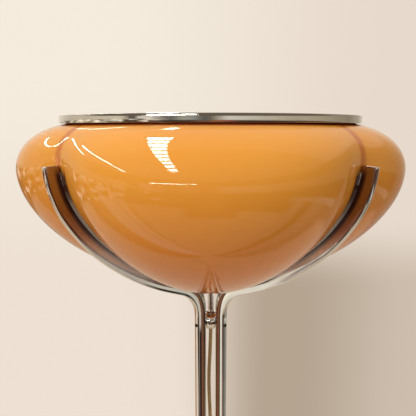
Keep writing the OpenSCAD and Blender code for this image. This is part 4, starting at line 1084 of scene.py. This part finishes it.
# The bulbs: opal glass globes on pressed metal caps with a rolled thread. Each is screwed
# into its holder and turns about the holder's axis.
GLOBE_R, GLASS_L, GLASS_T, NECK_H = 0.030, 0.078, 0.0012, 0.008


def globe_side(w, steps):
    """Half of the glass from its neck to its crown, moved in by w."""
    crown = GLASS_L - GLOBE_R
    neck = Vector((CAP_R + 0.001, NECK_H - crown))
    touch = math.atan2(-neck.y, neck.x) - math.acos(GLOBE_R / neck.length)
    knots = [Vector((CAP_R - 0.0006 - w, 0.0)), Vector((CAP_R + 0.0002 - w, 0.0035))]
    knots += [Vector((neck.x - w, NECK_H))]
    knots += [Vector(((GLOBE_R - w) * math.cos(a), crown + (GLOBE_R - w) * math.sin(a)))
              for a in (-touch + (math.pi / 2 + touch) * k / steps for k in range(steps + 1))]
    knots[-1].x = 0.0
    return knots


opal = mottled("opal_glass", ((0.88, 0.85, 0.78), (0.93, 0.92, 0.88), 40), (0.08, 0.17, 150),
               more={"Subsurface Weight": 0.5, "Subsurface Scale": 0.0008,
                     "Subsurface Radius": (1, 0.9, 0.75)})
cap_metal = zinc_plate("cap_metal", (0.72, 0.70, 0.64), 0.26)
PITCH, THREAD = 0.0036, 0.00045


def rolled_thread(r, z, turn):
    """The cap's shell, pressed into a round thread between its two plain ends."""
    if r < CAP_R - 0.0012 or not MOUTH - CAP_L + 0.0075 < z < MOUTH - 0.002:
        return r
    return r - THREAD * (1 - math.cos(2 * math.pi * (z / PITCH - turn / (2 * math.pi))))


glass_outline = [(p.x, MOUTH + p.y) for p in globe_side(0, 40) + globe_side(GLASS_T, 40)[::-1]]
cap_foot = MOUTH - CAP_L
cap_outline = [(0.0, cap_foot), (0.004, cap_foot), (0.0045, cap_foot + 0.0005), (0.0045, cap_foot + 0.003),
               (0.006, cap_foot + 0.003), (CAP_R - 0.002, cap_foot + 0.0062),
               (CAP_R - 0.0002, cap_foot + 0.007)]
cap_outline += [(CAP_R - 0.00005, cap_foot + 0.0075 + 0.0003 * k) for k in range(61)]
cap_outline += [(CAP_R, MOUTH - 0.0015), (CAP_R, MOUTH), (0.0, MOUTH)]
for lobe, az in LOBES.items():
    glass = turned_piece("opal_bulb_" + lobe, glass_outline, 96, along_lobe(az), smooth_to=70)
    cap = turned_piece("threaded_cap_" + lobe, cap_outline, 64, along_lobe(az), smooth_to=50,
                       shape=rolled_thread)
    fit(glass, opal, "opal_glass", "bulb_" + lobe, body="bulb_" + lobe + "_body")
    fit(cap, cap_metal, "cap_metal", "cap_" + lobe, body="bulb_" + lobe + "_body")

# The terminal block inside the hub, which also takes the lid's screw, and the block of
# contacts in the foot switch. Both are moulded in ivory plastic.
ivory = mottled("ivory_plastic", ((0.66, 0.60, 0.44), (0.76, 0.70, 0.56), 200), (0.36, 0.56, 500),
                (0.15, 0.0001, 1500))
for node in ("terminal_block", "switch_contacts"):
    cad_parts[node].data.materials.clear()
    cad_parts[node].data.materials.append(ivory)

# Tapered rubber sleeves where the cord leaves the stem and the foot switch. Each is moulded
# with rings that let it bend, and its bore closes round the flat cord.
SLEEVE_TIP_R, GRIP_R, BUSH_R = 0.0039, 0.0045, 0.006
RING_STEP = 0.0025
SLEEVE_BORE = 0.0031


def round_the_cord(r, z, turn):
    """Points that are given the radius SLEEVE_BORE follow the flat cord's outline."""
    if r != SLEEVE_BORE:
        return r
    half, core = CORD_WIDE / 2 + 0.0001, CORD_THICK / 2 + 0.0001
    across, up = abs(math.cos(turn)), abs(math.sin(turn))
    if core * across <= (half - core) * up:
        return core / up
    reach = (half - core) * across
    return reach + math.sqrt(max(0.0, core ** 2 - ((half - core) * up) ** 2))


def sleeve_rings(wide_r, tip_r, start, end):
    """Corners of a tapered sleeve from its wide end to its tip, with grooves between rings."""
    corners = []
    count = int(abs(end - start) / RING_STEP)
    for k in range(count):
        a, b = start + (end - start) * k / count, start + (end - start) * (k + 1) / count
        r = wide_r + (tip_r - wide_r) * (k + 0.5) / count
        corners += [(r, a + (b - a) * 0.08), (r, a + (b - a) * 0.62)]
        corners += [(r - 0.0006, a + (b - a) * 0.68), (r - 0.0006, b)]
    return corners + [(tip_r, end)]


ball_under = LOWER_BALL_Z - math.sqrt(BALL_R ** 2 - BUSH_R ** 2)
bush_outline = [(SLEEVE_BORE, EXIT_Z + 0.004), (SLEEVE_BORE, EXIT_Z)]
bush_rings = sleeve_rings(BUSH_R - 0.0008, SLEEVE_TIP_R, ball_under - 0.006, EXIT_Z)
bush_outline += softened(bush_rings[::-1], 0.0003)
bush_outline += [(BUSH_R - 0.0004, ball_under - 0.0055), (BUSH_R - 0.0002, ball_under - 0.0004)]
bush_outline += [(BALL_R * math.sin(a), LOWER_BALL_Z - BALL_R * math.cos(a) - 0.0001)
                 for a in (math.asin((BUSH_R - 0.0004 - 0.0004 * k) / BALL_R) for k in range(6))]
bush_outline += [(0.0036, EXIT_Z + 0.012), (0.0034, EXIT_Z + 0.006)]
bush = turned_piece("tapered_bush", bush_outline, 72, shape=round_the_cord)
fit(bush, pad_rubber, "pad_rubber", "cord_bush")


def on_the_cord(x, y, z, way):
    """From a piece's own height to a place on the cord, with its top along +Y or -Y."""
    return Matrix.Translation((x, y, z)) @ Matrix.Rotation(-way * math.pi / 2, 4, "X")


grip_outline = [(SLEEVE_BORE, SWITCH_HALF + SLEEVE - 0.004), (SLEEVE_BORE, SWITCH_HALF - 0.004),
                (GRIP_R, SWITCH_HALF - 0.004), (GRIP_R, SWITCH_HALF + 0.0022)]
grip_rings = sleeve_rings(GRIP_R, SLEEVE_TIP_R, SWITCH_HALF + 0.0024, SWITCH_HALF + SLEEVE)
grip_outline += softened(grip_rings, 0.0003)
grip_outline += [(SLEEVE_BORE, SWITCH_HALF + SLEEVE)]
grips = joined("tapered_grips", [
    turned_piece("grip", grip_outline, 72, on_the_cord(*SWITCH_AT, CORD_Z, way), shape=round_the_cord)
    for way in (1, -1)])
fit(grips, pad_rubber, "pad_rubber", "cord_grips")

# The foot switch: a floor plate and a cover of brown moulded plastic, held by two screws
# from below. The cover has a bead round the button and a collar where each sleeve comes out.
SWITCH_R, SWITCH_REACH, SWITCH_WALL = 0.018, 0.019, 0.002
COVER_LOW, COVER_HIGH = 0.002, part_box("switch_cover")[1].z
BUTTON_R, BUTTON_HOLE = 0.012, 0.0124
AROUND_SWITCH = [2 * math.pi * k / 144 for k in range(144)]


def switch_reach(turn, inset):
    """From the middle of the switch to its outline, moved in by inset, in that direction."""
    r = SWITCH_R - inset
    across, along = abs(math.cos(turn)), abs(math.sin(turn))
    if along * r <= SWITCH_REACH * across:
        return r / across
    return SWITCH_REACH * along + math.sqrt(max(0.0, r * r - (SWITCH_REACH * across) ** 2))


def switch_level(inset, z, hole=0.0, share=0.0):
    """The outline at that height, or a share of the way from it to the round of the hole."""
    level = []
    for turn in AROUND_SWITCH:
        d = switch_reach(turn, inset)
        d += (hole - d) * share
        level.append((SWITCH_AT[0] + d * math.cos(turn), SWITCH_AT[1] + d * math.sin(turn), z))
    return level


def stacked(name, levels, closed=True, smooth_to=35):
    return mesh_piece(name, [p for level in levels for p in level],
                      laid_faces(len(levels), len(levels[0]), closed=closed), smooth_to)


EDGE = 0.0035
top_z = COVER_HIGH - 0.0006
cover_levels = [switch_level(0.0003, COVER_LOW), switch_level(0, COVER_LOW + 0.0003), switch_level(0, 0.009)]
cover_levels += [switch_level(0.0002, 0.0094), switch_level(0.0002, 0.0100), switch_level(0, 0.0104)]
cover_levels += [switch_level(EDGE * (1 - math.cos(a)), top_z - EDGE + EDGE * math.sin(a))
                 for a in (math.radians(10 * k) for k in range(10))]
for k in range(1, 13):
    sunk = 0.0003 if k in (3, 5) else 0
    cover_levels.append(switch_level(EDGE, top_z - sunk, BUTTON_HOLE + 0.0016, k / 12))
under_top = COVER_HIGH - SWITCH_WALL
cover_levels += [switch_level(EDGE, z, r, 1) for r, z in (
    (BUTTON_HOLE + 0.0013, COVER_HIGH - 0.0001), (BUTTON_HOLE + 0.0009, COVER_HIGH),
    (BUTTON_HOLE + 0.0004, COVER_HIGH), (BUTTON_HOLE, COVER_HIGH - 0.0004), (BUTTON_HOLE, under_top))]
cover_levels += [switch_level(SWITCH_WALL + 0.001, under_top), switch_level(SWITCH_WALL, under_top - 0.001),
                 switch_level(SWITCH_WALL, COVER_LOW + 0.0003), switch_level(SWITCH_WALL - 0.0003, COVER_LOW)]
shell = stacked("shell", cover_levels)
collar_outline = softened([(GRIP_R + 0.0001, SWITCH_HALF - 0.0025), (GRIP_R + 0.0001, SWITCH_HALF + 0.001),
                           (GRIP_R + 0.001, SWITCH_HALF + 0.001), (GRIP_R + 0.001, SWITCH_HALF - 0.0025)],
                          0.0004)
collars = [turned_piece("collar", collar_outline, 64, on_the_cord(*SWITCH_AT, CORD_Z, way))
           for way in (1, -1)]
POST_Y, POST_R, POST_BORE, POST_FOOT = 0.027, 0.003, 0.0013, 0.0041
POST_PLACES = [Matrix.Translation((SWITCH_AT[0], SWITCH_AT[1] + way * POST_Y, 0)) for way in (1, -1)]
post_outline = softened([(POST_R, POST_FOOT), (POST_R, under_top), (POST_BORE, under_top),
                         (POST_BORE, POST_FOOT)], 0.0003)
posts = [turned_piece("post", post_outline, 32, place) for place in POST_PLACES]
cover = joined("brown_cover", [shell, *collars, *posts])
STEP_INSET = SWITCH_WALL + 0.0001
plate = stacked("brown_floor_plate", [
    switch_level(0.0006, 0.0), switch_level(0, 0.0006), switch_level(0, 0.0017), switch_level(0.0003, 0.002),
    switch_level(STEP_INSET, 0.002), switch_level(STEP_INSET, 0.0037),
    switch_level(STEP_INSET + 0.0003, 0.004)], closed=False)
brown_plastic = mottled("brown_plastic", ((0.040, 0.020, 0.011), (0.070, 0.038, 0.022), 300, 5),
                        (0.24, 0.46, 240, 5), (0.3, 0.00015, 1700, 2))
fit(cover, brown_plastic, "switch_brown", "switch_cover")
fit(plate, brown_plastic, "switch_brown", "switch_base")

# The button: cream plastic with a dished and ridged top, and a flange that keeps it under
# the cover. It slides down on its spring, and two screws from below close the switch.
FLANGE_R = 0.014
button_low, button_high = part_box("switch_button")
button_corners = [(0.0, button_low.z), (FLANGE_R, button_low.z), (FLANGE_R, button_low.z + 0.002),
                  (BUTTON_R, button_low.z + 0.002), (BUTTON_R, button_high.z - 0.0016)]
button_outline = button_corners + [
    (BUTTON_R - 0.0016 * (1 - math.cos(a)), button_high.z - 0.0016 + 0.0016 * math.sin(a))
    for a in (math.radians(15 * k) for k in range(1, 7))]
button_outline += [(0.0100, button_high.z - 0.0001), (0.0090, button_high.z - 0.0005),
                   (0.0075, button_high.z - 0.0009)]
for ridge in range(3):
    r = 0.0066 - 0.0018 * ridge
    button_outline += [(r, button_high.z - 0.0010), (r - 0.0003, button_high.z - 0.0006),
                       (r - 0.0007, button_high.z - 0.0006), (r - 0.0010, button_high.z - 0.0011)]
button_outline += [(0.0, button_high.z - 0.0012)]
button = turned_piece("cream_button", button_outline, 96, Matrix.Translation((*SWITCH_AT, 0)), smooth_to=40)
cream_plastic = mottled("cream_plastic", ((0.66, 0.55, 0.39), (0.76, 0.67, 0.51), 160, 4),
                        (0.22, 0.42, 320, 4), (0.18, 0.00012, 1400, 2),
                        more={"Subsurface Weight": 0.15, "Subsurface Scale": 0.002})
fit(button, cream_plastic, "button_cream", "switch_button", body="switch_button_body")

screw_low, screw_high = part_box("switch_screws")
switch_screw_outline = [(0.0, screw_low.z + 0.0009), (RECESS, screw_low.z + 0.0009), (RECESS, screw_low.z),
                        (0.0026, screw_low.z), (0.0030, screw_low.z + 0.0005), (0.0030, screw_low.z + 0.0012),
                        (0.00125, screw_low.z + 0.0012), (0.00125, screw_high.z - 0.0008),
                        (0.0004, screw_high.z), (0.0, screw_high.z)]
switch_screws = joined("cover_screws", [
    turned_piece("cover_screw", switch_screw_outline, 36, place, shape=recess_or_round)
    for place in POST_PLACES])
fit(switch_screws, zinc, "zinc_steel", "switch_screws")
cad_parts["switch_spring"].data.materials.clear()
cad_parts["switch_spring"].data.materials.append(zinc)

# The plug: two round brass pins in a flat body of cream plastic, moulded round them. It has
# finger grooves and draws in towards a ringed sleeve that grips the cord.
PLUG_X, PLUG_BACK, PLUG_LONG, PLUG_R, PLUG_TAIL = -0.024, 0.440, 0.036, 0.0175, 0.00875
PLUG_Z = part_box("plug_body")[1].z / 2
PIN_R, PIN_L, PIN_APART, PIN_ROOT_R, PIN_BITE = 0.002, 0.019, 0.0093, 0.0015, 0.008
plug_rows = []


def plug_row(y, half_wide, half_thick, power):
    """One rounded outline across the plug; a higher power is squarer."""
    for k in range(80):
        a = 2 * math.pi * k / 80
        u = abs(math.cos(a)) ** (2 / power) * math.copysign(1, math.cos(a))
        v = abs(math.sin(a)) ** (2 / power) * math.copysign(1, math.sin(a))
        plug_rows.append((PLUG_X + half_wide * u, y, PLUG_Z + half_thick * v))


front = PLUG_BACK - PLUG_LONG
for back, cut in ((0.0, 0.0016), (0.0003, 0.0008), (0.0008, 0.0002), (0.0014, 0.0)):
    plug_row(front + back, PLUG_R - cut, PLUG_Z - cut, 7)
plug_row(front + 0.010, PLUG_R, PLUG_Z, 7)
for k in range(41):
    t = k / 40
    half = PLUG_R + (PLUG_TAIL - PLUG_R) * t
    groove = 0.0005 * (0.5 - 0.5 * math.cos(2 * math.pi * 5 * t)) if t < 0.999 else 0.0
    plug_row(front + 0.018 + 0.0165 * t, half - groove, PLUG_Z - 0.0012 * t * t - 0.5 * groove, 7 - 3.5 * t)
for k in range(1, 7):
    t = k / 6
    a = math.pi / 2 * t
    plug_row(front + 0.0345 + 0.0015 * math.sin(a), PLUG_TAIL + (0.005 - PLUG_TAIL) * (1 - math.cos(a)),
             (PLUG_Z - 0.0012) + (0.005 - PLUG_Z + 0.0012) * (1 - math.cos(a)), 3.5 - 1.5 * t)
for r, z in softened(sleeve_rings(0.005, SLEEVE_TIP_R, 0.0, SLEEVE), 0.0003):
    plug_row(PLUG_BACK + z, r, r, 2)
plug = mesh_piece("cream_plug", plug_rows, laid_faces(len(plug_rows) // 80, 80), 40)
fit(plug, cream_plastic, "plug_cream", "plug_body")
pin_outline = [(0.0, -PIN_BITE), (PIN_ROOT_R, -PIN_BITE), (PIN_ROOT_R, 0.0), (PIN_R, 0.0),
               (PIN_R, PIN_L - PIN_R)]
pin_outline += [(PIN_R * math.cos(a), PIN_L - PIN_R + PIN_R * math.sin(a))
                for a in (math.radians(15 * k) for k in range(1, 7))]
brass = mottled("pin_brass", ((0.70, 0.60, 0.37), (0.82, 0.74, 0.52), 400, 4, (1, 0.1, 1)),
                (0.12, 0.34, 700, 4, (1, 0.08, 1)), (0.15, 0.0001, 1500, 2, (1, 0.08, 1)), metal=1.0)
pins = joined("brass_pins", [
    turned_piece("pin", pin_outline, 48, on_the_cord(PLUG_X + way * PIN_APART, front, PLUG_Z, -1))
    for way in (1, -1)])
fit(pins, brass, "pin_brass", "plug_pins")

# The strap that keeps the spare cord coiled: a loop of white woven tape, with rounded
# selvedges and two faint grooves along it.
STRAP_LOW, STRAP_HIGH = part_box("coil_strap")
TAPE = 0.0008
strap_middle = (STRAP_LOW + STRAP_HIGH) / 2
half_strap = (STRAP_HIGH.x - STRAP_LOW.x) / 2


def strap_round(inset, r):
    """The loop of the tape, seen along its axis and moved in by inset."""
    (y, z), (far_y, far_z) = STRAP_LOW.yz, STRAP_HIGH.yz
    return softened([(y + inset, z + inset), (far_y - inset, z + inset), (far_y - inset, far_z - inset),
                     (y + inset, far_z - inset)], r, 8)


outer_round, inner_round = strap_round(0, 0.0030), strap_round(TAPE, 0.0024)
ACROSS_TAPE = [(-1.0, 0.25), (-0.96, 0.06), (-0.90, 0.0), (-0.5, 0.025), (0.0, 0.0), (0.5, 0.025),
               (0.90, 0.0), (0.96, 0.06), (1.0, 0.25)]
strap_rows = []
for faces, backs, order in ((outer_round, inner_round, 1), (inner_round, outer_round, -1)):
    for across, thin in ACROSS_TAPE[::order]:
        for a, b in zip(faces, backs):
            p = a + (b - a) * thin
            strap_rows.append((strap_middle.x + half_strap * across, p.x, p.y))
strap = mesh_piece("tape_strap", strap_rows,
                   laid_faces(2 * len(ACROSS_TAPE), len(outer_round), closed=True), 60)
tape_white = mottled("woven_tape", ((0.74, 0.71, 0.64), (0.88, 0.86, 0.82), 900, 4, (0.3, 1, 1)),
                     (0.75, 0.95, 700), (0.6, 0.0003, 2200, 2, (0.25, 1, 1)), more={"Sheen Weight": 0.3})
fit(strap, tape_white, "strap_white", "coil_strap")
